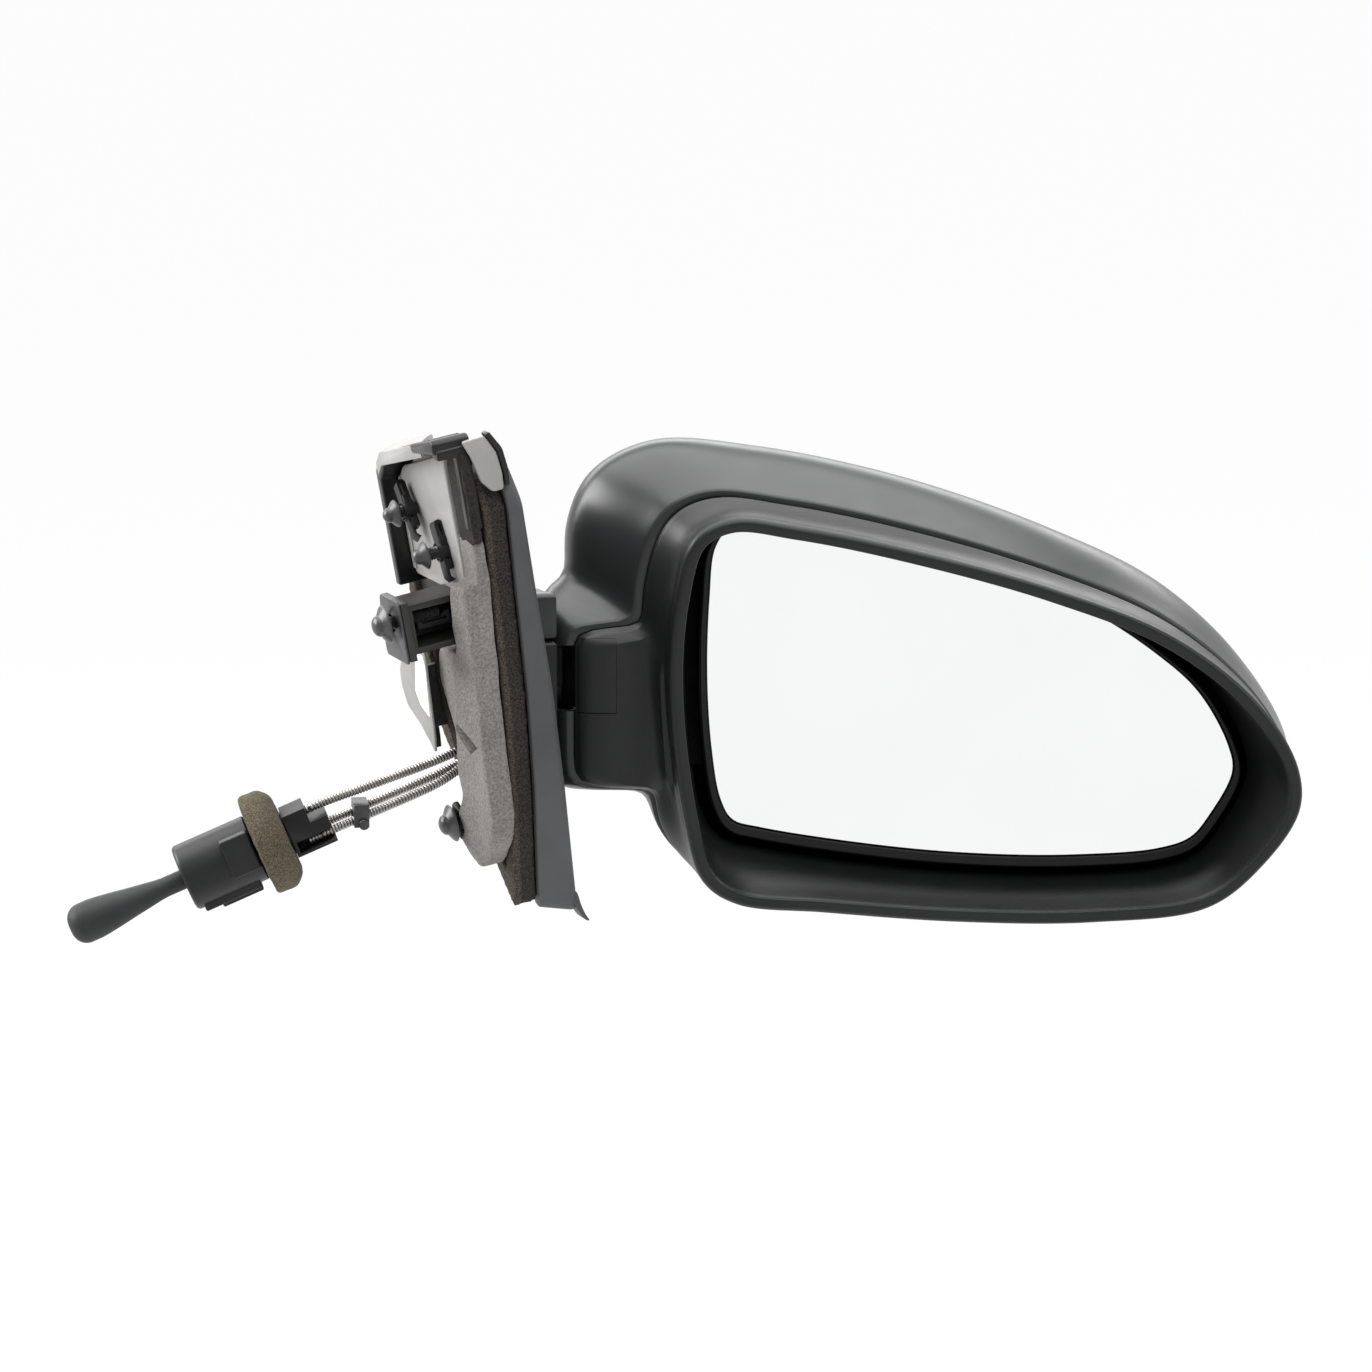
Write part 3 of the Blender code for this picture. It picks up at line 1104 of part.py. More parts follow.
anchor_dir = stick_matrix.to_3x3() @ Vector((0.0, 0.0, -1.0))
routes = {"upper": CONDUIT_UPPER, "middle": CONDUIT_MIDDLE, "lower": CONDUIT_LOWER}
paths = {}
for (name, way), (sx, sy) in zip(routes.items(), SOCKETS):
    start = stick_matrix @ Vector((sx * MM, sy * MM, ANCHOR_END + SOCKET_DEPTH))
    first = [np.array(start + anchor_dir * reach) for reach in (0.0, 0.004, 0.009)]
    rest = [np.array(p, float) * MM for p in way[:-1]]
    top = np.array([way[-1][0] * MM, way[-1][1] * MM, CONDUIT_TOP])
    paths[name] = smooth_path(first + rest + [top], 0.0008)


def run_of(path):
    return np.concatenate([[0.0], np.cumsum(np.linalg.norm(np.diff(path, axis=0), axis=1))])


def along(path, marks):
    run = run_of(path)
    return np.column_stack([np.interp(marks, run, path[:, k]) for k in range(3)])


def wound_conduit(name, path):
    """Ribs on the stretch that shows, plain behind it, and the bore for the wire."""
    length = run_of(path)[-1]
    marks = [0.0]
    radii = [CONDUIT_VALLEY]
    for k in range(2 * RIB_COUNT):
        marks.append(PLAIN_END + (RIB_END - PLAIN_END) * k / (2 * RIB_COUNT))
        radii.append(CONDUIT_RADIUS if k % 2 else CONDUIT_VALLEY)
    tail = np.linspace(RIB_END, length, int((length - RIB_END) / 0.005) + 2)
    marks.extend(tail)
    radii.extend([CONDUIT_VALLEY] * len(tail))
    item = place(name, tube_mesh(along(path, marks), radii, 2), "steel")
    core = along(path, np.linspace(0.0, length, int(length / 0.005) + 2))
    core = np.vstack([2 * core[0] - core[1], core, 2 * core[-1] - core[-2]])
    cut(item, place(name + "_bore", tube_mesh(core, [CONDUIT_BORE] * len(core), 1)))


def sleeve(path, low, high, radius):
    line = along(path, np.linspace(low, high, 14) * run_of(path)[-1])
    return tube_mesh(line, [radius] * len(line), 2)


for name, path in paths.items():
    wound_conduit("conduit_" + name, path)

grommet_box = box_mesh((-GROMMET_HALF, GROMMET_LOW, BRACKET_LOW), (GROMMET_HALF, GROMMET_HIGH, bracket_high))
grommet = place("cable_grommet", grommet_box, "rubber", foot)
for name, path in paths.items():
    cut(grommet, place("grommet_hole", sleeve(path, 0.30, 0.62, CONDUIT_RADIUS + CONDUIT_PLAY)))

near = int(np.argmin(np.abs(paths["middle"][:, 0] + 0.034)))
low_near = int(np.argmin(np.abs(paths["lower"][:, 0] + 0.034)))
band_mid = (paths["middle"][near] + paths["lower"][low_near]) / 2
band_reach = np.abs(paths["middle"][near] - paths["lower"][low_near]) / 2 + CONDUIT_RADIUS + 0.0014
band_low = (band_mid[0] - BAND_HALF, band_mid[1] - band_reach[1], band_mid[2] - band_reach[2])
band_high = (band_mid[0] + BAND_HALF, band_mid[1] + band_reach[1], band_mid[2] + band_reach[2])
band = place("cable_clip", box_mesh(band_low, band_high), "dark_steel")
for name in ("middle", "lower"):
    cut(band, place("band_hole", sleeve(paths[name], 0.02, 0.32, CONDUIT_RADIUS + GAP)))

# Conduits inside the head, from the pivot tube to the seat behind the glass

head_routes = {"upper": HEAD_ROUTE_UPPER, "left": HEAD_ROUTE_MIDDLE, "right": HEAD_ROUTE_LOWER}
starts = (CONDUIT_UPPER[-1], CONDUIT_MIDDLE[-1], CONDUIT_LOWER[-1])
for (name, way), angle, start in zip(head_routes.items(), wires, starts):
    x, z = around(WIRE_CIRCLE, angle)
    points = [(start[0] * MM, start[1] * MM, CONDUIT_TOP + GAP),
              (start[0] * MM, start[1] * MM, CONDUIT_TOP + GAP + HEAD_RISE)]
    points += [tuple(c * MM for c in p) for p in way]
    points += [(x, SOCKET_Y, z), (x, SOCKET_Y - 0.006, z), (x, seat_back + GAP, z)]
    path = np.vstack([points[0], smooth_path(points[1:], 0.0065)])
    plain_tube = tube_mesh(path, [CONDUIT_VALLEY] * len(path), 1)
    place("head_conduit_" + name, plain_tube, "steel", fold, own_frame=False)

# Stick adjuster

housing = place("adjuster_housing", turned_mesh([
    (HOUSING_RADIUS - 0.0012, HOUSING_FRONT), (HOUSING_RADIUS, HOUSING_FRONT - 0.0012),
    (HOUSING_RADIUS, HOUSING_BACK), (HOUSING_BORE, HOUSING_BACK), (HOUSING_BORE, SOCKET_BACK),
    (BALL_RADIUS + GAP, SOCKET_BACK), (BALL_RADIUS + GAP, 0.0015), (MOUTH_RADIUS, HOUSING_FRONT)], 24),
    "satin_black", stick)
rail = box_mesh((-HOUSING_RADIUS - RAIL_HIGH, -RAIL_WIDTH / 2, HOUSING_BACK + 0.003),
                (-HOUSING_RADIUS + 0.001, RAIL_WIDTH / 2, HOUSING_FRONT - 0.008))
tab = box_mesh((-0.005, -HOUSING_RADIUS - 0.0012, HOUSING_BACK + 0.0004), (0.006, -HOUSING_RADIUS + 0.002,
                                                                        HOUSING_BACK + 0.0090))
join(housing, place("housing_rail", rail, None, stick), place("housing_tab", tab, None, stick))
slot = box_mesh((-CROSS_PIN - GAP, -PIN_SLOT_END, -CROSS_SLOT / 2),
                (CROSS_PIN + GAP, PIN_SLOT_END, CROSS_SLOT / 2))
cut(housing, place("pin_slot", slot, None, stick))

lever_profile = [(0.0, LEVER_TIP), (KNOB_RADIUS * 0.5, LEVER_TIP - 0.0006),
                 (KNOB_RADIUS * 0.85, LEVER_TIP - 0.0025),
                 (KNOB_RADIUS, LEVER_TIP - 0.0060), (KNOB_RADIUS * 0.97, LEVER_TIP - 0.0105),
                 (0.0048, LEVER_TIP - 0.020), (STEM_RADIUS, LEVER_TIP - 0.033)]
ball_from = math.asin(STEM_RADIUS / BALL_RADIUS)
for part in np.linspace(ball_from, math.pi - math.asin(0.002 / BALL_RADIUS), 6):
    lever_profile.append((BALL_RADIUS * math.sin(part), BALL_RADIUS * math.cos(part)))
disc_top = DISC_Z + DISC_THICK
lever_profile += [(0.002, disc_top), (DISC_RADIUS, disc_top), (DISC_RADIUS, DISC_Z), (0.0, DISC_Z)]
lever = place("adjuster_lever", turned_mesh(lever_profile, 16), "grain_black", stick)
cut(lever, place("lever_pin_hole", rod_mesh(CROSS_PIN + GAP, (0, -0.01, 0), (0, 0.01, 0), 14), None, stick))
pin_half = PIN_SLOT_END - GAP
place("lever_cross_pin", rod_mesh(CROSS_PIN, (0, -pin_half, 0), (0, pin_half, 0), 14), "steel", stick)

ring_front = HOUSING_BACK - GAP
ring_back = ring_front - RING_LENGTH
place("adjuster_foam_ring", turned_mesh([
    (RING_OUTER - 0.0025, ring_front), (RING_OUTER, ring_front - 0.0025), (RING_OUTER, ring_back + 0.0025),
    (RING_OUTER - 0.0025, ring_back), (SPIGOT_RADIUS + GAP, ring_back),
    (SPIGOT_RADIUS + GAP, ring_front)], 24),
    "foam_brown", stick)
anchor_box = box_mesh((-ANCHOR_HALF, -ANCHOR_HALF, ANCHOR_END), (ANCHOR_HALF, ANCHOR_HALF, ring_back - GAP))
anchor = place("cable_anchor", anchor_box, "satin_black", stick)
spigot = rod_mesh(SPIGOT_RADIUS, (0, 0, ring_back - 0.002), (0, 0, HOUSING_BACK + 0.0015), 24)
join(anchor, place("anchor_spigot", spigot, None, stick))
for sx, sy in SOCKETS:
    hole = rod_mesh(CONDUIT_RADIUS + GAP, (sx * MM, sy * MM, ANCHOR_END - 0.002),
                    (sx * MM, sy * MM, ANCHOR_END + SOCKET_DEPTH + GAP), 14)
    cut(anchor, place("anchor_socket", hole, None, stick))
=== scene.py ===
"""Looks of the car side mirror: fine shells, foam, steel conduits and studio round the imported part."""

import math

import bmesh
import bpy
import numpy as np
from mathutils import Matrix, Vector, noise


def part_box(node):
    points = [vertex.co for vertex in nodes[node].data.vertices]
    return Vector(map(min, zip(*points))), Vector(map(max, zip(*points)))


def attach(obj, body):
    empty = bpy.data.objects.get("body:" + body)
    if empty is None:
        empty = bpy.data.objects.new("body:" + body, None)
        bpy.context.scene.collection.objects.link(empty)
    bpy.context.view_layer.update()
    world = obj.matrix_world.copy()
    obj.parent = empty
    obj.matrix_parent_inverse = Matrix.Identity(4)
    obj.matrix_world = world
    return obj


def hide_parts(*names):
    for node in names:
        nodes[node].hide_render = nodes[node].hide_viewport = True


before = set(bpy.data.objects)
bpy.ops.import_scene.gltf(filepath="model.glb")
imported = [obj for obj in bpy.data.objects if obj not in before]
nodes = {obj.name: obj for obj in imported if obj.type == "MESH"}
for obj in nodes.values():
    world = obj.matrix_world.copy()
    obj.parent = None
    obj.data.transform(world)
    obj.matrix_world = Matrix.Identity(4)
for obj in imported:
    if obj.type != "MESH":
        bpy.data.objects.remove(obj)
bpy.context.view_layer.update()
scene = bpy.context.scene

MM = 0.001
GAP = 0.0003

# Camera, floor and lamps

CAMERA_AT = (-0.1573, -1.4610, 0.3100)
CAMERA_TO = (0.0723, -0.0119, -0.0019)
CAMERA_LENS = 121.5
FLOOR_Z = -0.36
FLOOR_HALF = 14.0


def placed(name, data):
    """A new object in the scene."""
    item = bpy.data.objects.new(name, data)
    scene.collection.objects.link(item)
    return item


def aim(item, at, to):
    """Puts a camera or lamp in its place and turns it to a point."""
    item.location = at
    item.rotation_euler = (Vector(to) - Vector(at)).to_track_quat("-Z", "Y").to_euler()


camera_data = bpy.data.cameras.new("camera")
camera_data.lens = CAMERA_LENS
camera_data.sensor_width = 36.0
camera_data.clip_start = 0.05
camera_data.clip_end = 60.0
scene.camera = placed("camera", camera_data)
aim(scene.camera, CAMERA_AT, CAMERA_TO)
scene.view_settings.view_transform = "Standard"


def lamp(name, at, to, size, power):
    data = bpy.data.lights.new(name, "AREA")
    data.shape = "RECTANGLE"
    data.size, data.size_y = size
    data.energy = power
    aim(placed(name, data), at, to)


LOOK = (0.10, 0.0, 0.0)
lamp("top_softbox", (0.10, 0.25, 1.35), LOOK, (2.2, 1.5), 32.0)
lamp("left_softbox", (-1.20, 0.28, 0.58), LOOK, (1.0, 0.9), 22.0)
lamp("right_softbox", (1.50, -0.70, 0.70), LOOK, (0.6, 1.0), 5.0)
lamp("front_softbox", (0.20, -0.95, 1.35), LOOK, (1.6, 0.6), 9.0)
lamp("back_softbox", (0.15, 1.50, 0.72), LOOK, (2.6, 0.5), 13.0)

WORLD_FILL = 0.45
WORLD_COLOUR = (0.96, 0.98, 1.0, 1.0)
FLOOR_COLOUR = (0.86, 0.86, 0.86, 1.0)
WHITE = (1.0, 1.0, 1.0, 1.0)
FLOOR_GLOW = 0.965
DIM_ROOM = 0.55
BACKDROP_Y = (-0.25, 0.15)
CEILING_Z = (0.30, 0.52)
SWEEP_Y = (-0.45, -0.10)
CARD_X = (0.10, 1.00)
CARD_Y = (-2.80, -0.90)
CARD_SOFT = 0.12


class Graph:
    """A node tree, with shorthands for new nodes."""

    def __init__(self, tree):
        self.tree = tree

    def feed(self, item, inputs):
        """Sets a node's inputs to values, or links them to other nodes' outputs."""
        for socket, value in inputs.items():
            if isinstance(value, bpy.types.NodeSocket):
                self.tree.links.new(value, item.inputs[socket])
            else:
                item.inputs[socket].default_value = value

    def node(self, kind, inputs):
        item = self.tree.nodes.new("ShaderNode" + kind)
        self.feed(item, inputs)
        return item

    def maths(self, kind, a, b):
        item = self.node("Math", {0: a, 1: b})
        item.operation = kind
        return item.outputs[0]


class Stage(Graph):
    """Nodes of the world or the floor: what lights the object, and what the seen rays show."""

    def __init__(self, tree):
        super().__init__(tree)
        tree.nodes.clear()
        self.path = self.node("LightPath", {}).outputs

    def ease(self, value, low, high):
        """0 below low, 1 above high, smooth between."""
        item = self.node("MapRange", {"Value": value, "From Min": low, "From Max": high})
        item.interpolation_type = "SMOOTHSTEP"
        return item.outputs[0]

    def dimmed(self, share):
        """White where share is 1, the dim room where it is 0."""
        return self.maths("ADD", self.maths("MULTIPLY", share, 1.0 - DIM_ROOM), DIM_ROOM)

    def parts(self, vector):
        return self.node("SeparateXYZ", {0: vector}).outputs

    def mix(self, amount, a, b):
        return self.node("MixShader", {0: amount, 1: a.outputs[0], 2: b.outputs[0]})

    def finish(self, lit, seen, reflected, kind):
        """lit for diffuse rays, seen for camera and transmission rays, reflected for glossy rays."""
        straight = self.maths("MAXIMUM", self.path["Is Camera Ray"], self.path["Is Transmission Ray"])
        first = self.mix(self.path["Is Glossy Ray"], lit, reflected)
        self.node(kind, {0: self.mix(straight, first, seen).outputs[0]})


world = bpy.data.worlds.new("studio")
scene.world = world
world.use_nodes = True
sky = Stage(world.node_tree)
fill = sky.node("Background", {"Color": WORLD_COLOUR, "Strength": WORLD_FILL})
white = sky.node("Background", {"Color": WHITE})
# In reflections the backdrop behind the object is pale, the ceiling and the room in front are dimmer.
_, way_y, way_z = sky.parts(sky.node("TexCoord", {}).outputs["Generated"])
below = sky.maths("SUBTRACT", 1.0, sky.ease(way_z, *CEILING_Z))
backdrop = sky.maths("MULTIPLY", sky.ease(way_y, *BACKDROP_Y), below)
room = sky.node("Background", {"Strength": sky.dimmed(backdrop)})
sky.finish(fill, white, room, "OutputWorld")

floor_mesh = bpy.data.meshes.new("floor")
floor_corners = [(x * FLOOR_HALF, y * FLOOR_HALF, FLOOR_Z) for x, y in ((-1, -1), (1, -1), (1, 1), (-1, 1))]
floor_mesh.from_pydata(floor_corners, [], [(0, 1, 2, 3)])
floor = placed("floor", floor_mesh)
floor_look = bpy.data.materials.new("pale_floor")
floor_look.use_nodes = True
ground = Stage(floor_look.node_tree)
pale = ground.node("BsdfDiffuse", {"Color": FLOOR_COLOUR})
glow = ground.node("Emission", {"Strength": 1.0})
# In reflections the floor is white behind the object and on a card below the glass's view.
at_x, at_y, _ = ground.parts(ground.node("NewGeometry", {}).outputs["Position"])
card = 1.0
for value, (low, high) in ((at_x, CARD_X), (at_y, CARD_Y)):
    past_low = ground.ease(value, low - CARD_SOFT, low)
    side = ground.maths("SUBTRACT", past_low, ground.ease(value, high, high + CARD_SOFT))
    card = ground.maths("MULTIPLY", card, side)
bright = ground.maths("MAXIMUM", card, ground.ease(at_y, *SWEEP_Y))
dim = ground.node("Emission", {"Strength": ground.dimmed(bright)})
ground.finish(pale, ground.mix(FLOOR_GLOW, pale, glow), dim, "OutputMaterial")
floor_mesh.materials.append(floor_look)

# Materials


class Look(Graph):
    """A Principled material with helpers for noise in the object's own metres."""

    def __init__(self, name, metal=0.0, spec=0.5):
        self.material = bpy.data.materials.new(name)
        self.material.use_nodes = True
        super().__init__(self.material.node_tree)
        self.shader = self.tree.nodes["Principled BSDF"]
        self.feed(self.shader, {"Metallic": metal, "Specular IOR Level": spec})
        self.place = self.node("TexCoord", {}).outputs["Object"]

    def noise(self, scale, detail=3.0):
        """Noise of a scale per metre and a detail in octaves."""
        return self.node("TexNoise", {"Vector": self.place, "Scale": scale, "Detail": detail}).outputs["Fac"]

    def cells(self, scale):
        return self.node("TexVoronoi", {"Vector": self.place, "Scale": scale}).outputs["Distance"]

    def along(self, axis):
        """The distance along an axis, in metres."""
        item = self.node("VectorMath", {0: self.place, 1: axis})
        item.operation = "DOT_PRODUCT"
        return item.outputs["Value"]

    def ramp(self, value, stops):
        item = self.node("ValToRGB", {0: value})
        item.color_ramp.elements.remove(item.color_ramp.elements[1])
        for k, (at, colour) in enumerate(stops):
            stop = item.color_ramp.elements[0] if k == 0 else item.color_ramp.elements.new(at)
            stop.position = at
            stop.color = (*colour, 1.0)
        return item.outputs["Color"]

    def blend(self, kind, amount, a, b):
        item = self.tree.nodes.new("ShaderNodeMix")
        item.data_type = "RGBA"
        item.blend_type = kind
        self.feed(item, {0: amount, 6: a, 7: b})
        return item.outputs[2]

    def colour(self, value):
        self.feed(self.shader, {"Base Color": value})

    def rough(self, low, high, value):
        item = self.node("MapRange", {"Value": value, "To Min": low, "To Max": high})
        self.feed(self.shader, {"Roughness": item.outputs[0]})

    def bump(self, height, depth):
        item = self.node("Bump", {"Strength": 1.0, "Distance": depth, "Height": height})
        self.feed(self.shader, {"Normal": item.outputs[0]})


def shade(colour, factor):
    return tuple(c * factor for c in colour)


def surface(name, colours, clouds, gloss, haze, grain=None, depth=0.0, edge=0.30, **shader):
    """Slow clouds between two colours, a gloss that wanders and, where there is a grain, a fine bump."""
    look = Look(name, **shader)
    look.colour(look.ramp(look.noise(*clouds), [(edge, colours[0]), (1.0 - edge, colours[1])]))
    look.rough(*gloss, look.noise(*haze))
    if grain:
        look.bump(look.noise(*grain), depth)
    return look.material


def plastic(name, colour, rough, grain, depth, spec):
    """Moulded plastic: broad clouds and a fine grain."""
    colours = (shade(colour, 0.86), shade(colour, 1.14))
    gloss = (rough - 0.05, rough + 0.07)
    return surface(name, colours, (38.0, 4.0), gloss, (120.0, 5.0), (grain, 2.0), depth, spec=spec)


def metal(name, colour, rough, grain, depth=0.00002):
    """Bare metal: small clouds, and the same grain in gloss and bump."""
    colours = (shade(colour, 0.78), shade(colour, 1.12))
    gloss = (rough - 0.07, rough + 0.10)
    return surface(name, colours, (160.0, 4.0), gloss, (grain, 3.0), (grain, 3.0), depth, metal=1.0)


def foam_look(name, scale, depth):
    """A foam without its colour yet, with pores in the bump, and the fine noise for its speckle."""
    look = Look(name, spec=0.2)
    fine = look.noise(scale)
    look.rough(0.87, 0.95, fine)
    look.bump(look.maths("ADD", fine, look.cells(scale * 0.5)), depth)
    return look, fine


def foam(name, dark, middle, light, scale, depth):
    """Open or felted foam: speckle from a fine noise, clouds from a slow one."""
    look, fine = foam_look(name, scale, depth)
    speckle = look.ramp(fine, [(0.34, dark), (0.5, middle), (0.66, light)])
    clouds = look.ramp(look.noise(scale * 0.04), [(0.3, (0.80, 0.80, 0.80)), (0.7, (1.0, 1.0, 1.0))])
    look.colour(look.blend("MULTIPLY", 1.0, speckle, clouds))
    return look.material


looks = {
    "cap": plastic("cap_satin_black", (0.0150, 0.0157, 0.0163), 0.30, 2600.0, 0.000006, 0.65),
    "frame": plastic("frame_fine_grain", (0.0095, 0.0099, 0.0102), 0.36, 1500.0, 0.000030, 0.42),
    "carrier": plastic("carrier_black", (0.006, 0.006, 0.006), 0.45, 1800.0, 0.00002, 0.35),
    "strip": plastic("foot_cover_grey", (0.068, 0.069, 0.071), 0.55, 2000.0, 0.00002, 0.35),
    "hood": plastic("hood_dark", (0.0085, 0.0085, 0.0085), 0.32, 1800.0, 0.00002, 0.45),
    # pale: the upper panel's own light grey, and also a painted reflection on the dark hood's roof and rear
    # face
    "pale": plastic("pale_plastic_and_painted_reflection", (0.30, 0.293, 0.283), 0.36, 1500.0, 0.00001, 0.5),
    "black": plastic("small_black_plastic", (0.0065, 0.0065, 0.007), 0.46, 1800.0, 0.00002, 0.35),
    "block": plastic("block_dark_grey", (0.026, 0.025, 0.0232), 0.40, 1800.0, 0.00002, 0.5),
    "housing": plastic("housing_black", (0.0095, 0.0098, 0.0102), 0.38, 1500.0, 0.00002, 0.45),
    "lever": plastic("lever_matte", (0.024, 0.0247, 0.0255), 0.55, 1700.0, 0.00003, 0.35),
    "insert": plastic("insert_grey", (0.05, 0.05, 0.055), 0.5, 1700.0, 0.00002, 0.4),
    "rubber": plastic("rubber_black", (0.012, 0.012, 0.012), 0.75, 1300.0, 0.00003, 0.3),
    "screw": plastic("coated_screw", (0.034, 0.034, 0.035), 0.32, 1400.0, 0.000015, 0.75),
    "pad": foam("pad_felted_foam", (0.140, 0.133, 0.123), (0.195, 0.186, 0.173), (0.255, 0.244, 0.229),
                1300.0, 0.00010),
    "strip_foam": foam("strip_brown_foam", (0.015, 0.0132, 0.0112), (0.026, 0.0232, 0.0200),
                       (0.042, 0.0375, 0.0325), 1600.0, 0.00010),
    "ring_foam": foam("ring_olive_foam", (0.050, 0.041, 0.027), (0.095, 0.079, 0.053), (0.150, 0.127, 0.090),
                      2100.0, 0.00014),
    "steel": metal("bare_steel", (0.46, 0.445, 0.42), 0.36, 900.0),
    "cast": metal("cast_dark_grey", (0.055, 0.055, 0.056), 0.52, 700.0, depth=0.00004),
    "dark": metal("dark_steel", (0.10, 0.10, 0.105), 0.38, 900.0),
    "mirror": surface("mirror_silver", ((0.905, 0.91, 0.915), (0.935, 0.937, 0.94)), (26.0, 4.0),
                      (0.015, 0.05), (60.0, 4.0), edge=0.25, metal=1.0),
    "paper": surface("bare_label", ((0.80, 0.79, 0.77), (0.88, 0.875, 0.86)), (300.0, 3.0),
                     (0.45, 0.62), (500.0, 3.0), (130.0, 3.0), 0.00008, spec=0.35),
    "wing": surface("wing_light_grey", ((0.215, 0.211, 0.203), (0.275, 0.270, 0.262)), (60.0, 4.0),
                    (0.32, 0.5), (200.0, 3.0), (900.0, 2.0), 0.00002),
}

# Mesh helpers

SAME_POINT = 0.000002
FLAT_ANGLE = math.radians(0.6)
ON_AXIS = 1e-9


def piece(name, mesh, look, stands_for=None, sharp=40.0, body="base"):
    """A finished piece: smooth with sharp edges, in its material, on its body, for the node it replaces."""
    item = placed(name, mesh)
    mesh.materials.clear()
    mesh.materials.append(looks[look])
    mesh.polygons.foreach_set("use_smooth", [True] * len(mesh.polygons))
    mesh.set_sharp_from_angle(angle=math.radians(sharp))
    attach(item, body)
    if stands_for:
        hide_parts(stands_for)
    return item


def soft_piece(name, mesh, look, stands_for=None):
    """A foam piece, shaded smooth all over."""
    return piece(name, mesh, look, stands_for, 180.0)


def tidy(mesh, join_flats=False):
    """Joins doubled points, and then joins flat faces or turns all faces outwards."""
    work = bmesh.new()
    work.from_mesh(mesh)
    bmesh.ops.remove_doubles(work, verts=work.verts, dist=SAME_POINT)
    if join_flats:
        bmesh.ops.dissolve_limit(work, angle_limit=FLAT_ANGLE, verts=work.verts, edges=work.edges)
    else:
        bmesh.ops.recalc_face_normals(work, faces=work.faces)
    work.to_mesh(mesh)
    work.free()
    return mesh


def loft(rings, start_pole=None, end_pole=None, closed=False):
    """Faces between rings of equal count. A pole or a flat face closes an end."""
    rings = [np.asarray(ring, float) for ring in rings]
    count = len(rings[0])
    verts = [tuple(p) for ring in rings for p in ring]
    faces = []
    for j in range(len(rings) if closed else len(rings) - 1):
        a = j * count
        b = ((j + 1) % len(rings)) * count
        for k in range(count):
            m = (k + 1) % count
            faces.append((a + k, a + m, b + m, b + k))
    if not closed:
        for pole, base in ((start_pole, 0), (end_pole, (len(rings) - 1) * count)):
            if pole is None:
                faces.append(tuple(base + k for k in range(count)))
            else:
                verts.append(tuple(pole))
                faces.extend((len(verts) - 1, base + k, base + (k + 1) % count) for k in range(count))
    mesh = bpy.data.meshes.new("loft")
    mesh.from_pydata(verts, [], faces)
    return tidy(mesh)


def level(loop, z):
    """A loop in X and Y at one height."""
    return np.column_stack([loop, np.full(len(loop), z)])


def across(loop, x):
    """A loop in Y and Z at one place along X."""
    return np.column_stack([np.full(len(loop), x), loop])


def prism(loop, low, high):
    """A closed outline in X and Y, drawn out along Z."""
    return loft([level(loop, low), level(loop, high)])


def moved(mesh, matrix):
    mesh.transform(matrix)
    return mesh


def evaluated(mesh, change):
    """The mesh after modifiers that change() adds to a passing object."""
    item = placed("passing", mesh)
    change(item)
    bpy.context.view_layer.update()
    result = bpy.data.meshes.new_from_object(item.evaluated_get(bpy.context.evaluated_depsgraph_get()))
    bpy.data.objects.remove(item, do_unlink=True)
    return result


def boolean(mesh, kind, *others):
    tools = [placed("tool", other) for other in others]

    def change(item):
        for tool in tools:
            step = item.modifiers.new("step", "BOOLEAN")
            step.operation = kind
            step.solver = "EXACT"
            step.object = tool

    result = evaluated(mesh, change)
    for tool in tools:
        bpy.data.objects.remove(tool, do_unlink=True)
    result.materials.clear()
    return result


def cut(mesh, *others):
    return boolean(mesh, "DIFFERENCE", *others)


def join(mesh, *others):
    return boolean(mesh, "UNION", *others)


def bevelled(mesh, width, segments=3, angle=30.0):
    def change(item):
        step = item.modifiers.new("bevel", "BEVEL")
        step.width = width
        step.segments = segments
        step.limit_method = "ANGLE"
        step.angle_limit = math.radians(angle)
        step.use_clamp_overlap = True

    return evaluated(mesh, change)


def node_mesh(name, width=0.0, segments=3):
    """A CAD node's own shape with its flat faces joined and its edges broken."""
    mesh = nodes[name].data.copy()
    mesh.materials.clear()
    tidy(mesh, join_flats=True)
    return bevelled(mesh, width, segments) if width else mesh


def box(low, high):
    work = bmesh.new()
    bmesh.ops.create_cube(work, size=1.0)
    for vert in work.verts:
        vert.co = Vector([(low[k] + high[k]) / 2 + vert.co[k] * (high[k] - low[k]) for k in range(3)])
    mesh = bpy.data.meshes.new("box")
    work.to_mesh(mesh)
    work.free()
    return mesh


def turned(radius, z, turns):
    """A ring about Z, of one radius or of one for each turn."""
    return np.column_stack([radius * np.cos(turns), radius * np.sin(turns), np.full(len(turns), z)])


def lathe(profile, steps):
    """A profile of radius and height turned about Z. It closes on the axis or on itself."""
    turns = np.linspace(0, 2 * math.pi, steps, endpoint=False)
    rings = [turned(r, z, turns) for r, z in profile if r > ON_AXIS]
    poles = [(0.0, 0.0, z) if r <= ON_AXIS else None for r, z in (profile[0], profile[-1])]
    return loft(rings, *poles, closed=poles == [None, None])


def rod(radius, start, end, sides=32):
    start = Vector(start)
    way = Vector(end) - start
    mesh = lathe([(0.0, 0.0), (radius, 0.0), (radius, way.length), (0.0, way.length)], sides)
    return moved(mesh, Matrix.Translation(start) @ way.to_track_quat("Z", "Y").to_matrix().to_4x4())


def arc(centre, radius, start, end, steps):
    """Points of a circle in a profile, angles in degrees."""
    turns = np.radians(np.linspace(start, end, steps))
    return [(centre[0] + radius * math.cos(a), centre[1] + radius * math.sin(a)) for a in turns]


def anticlockwise(points):
    area = sum(a[0] * b[1] - b[0] * a[1] for a, b in zip(points, [*points[1:], points[0]]))
    return points if area > 0 else points[::-1]


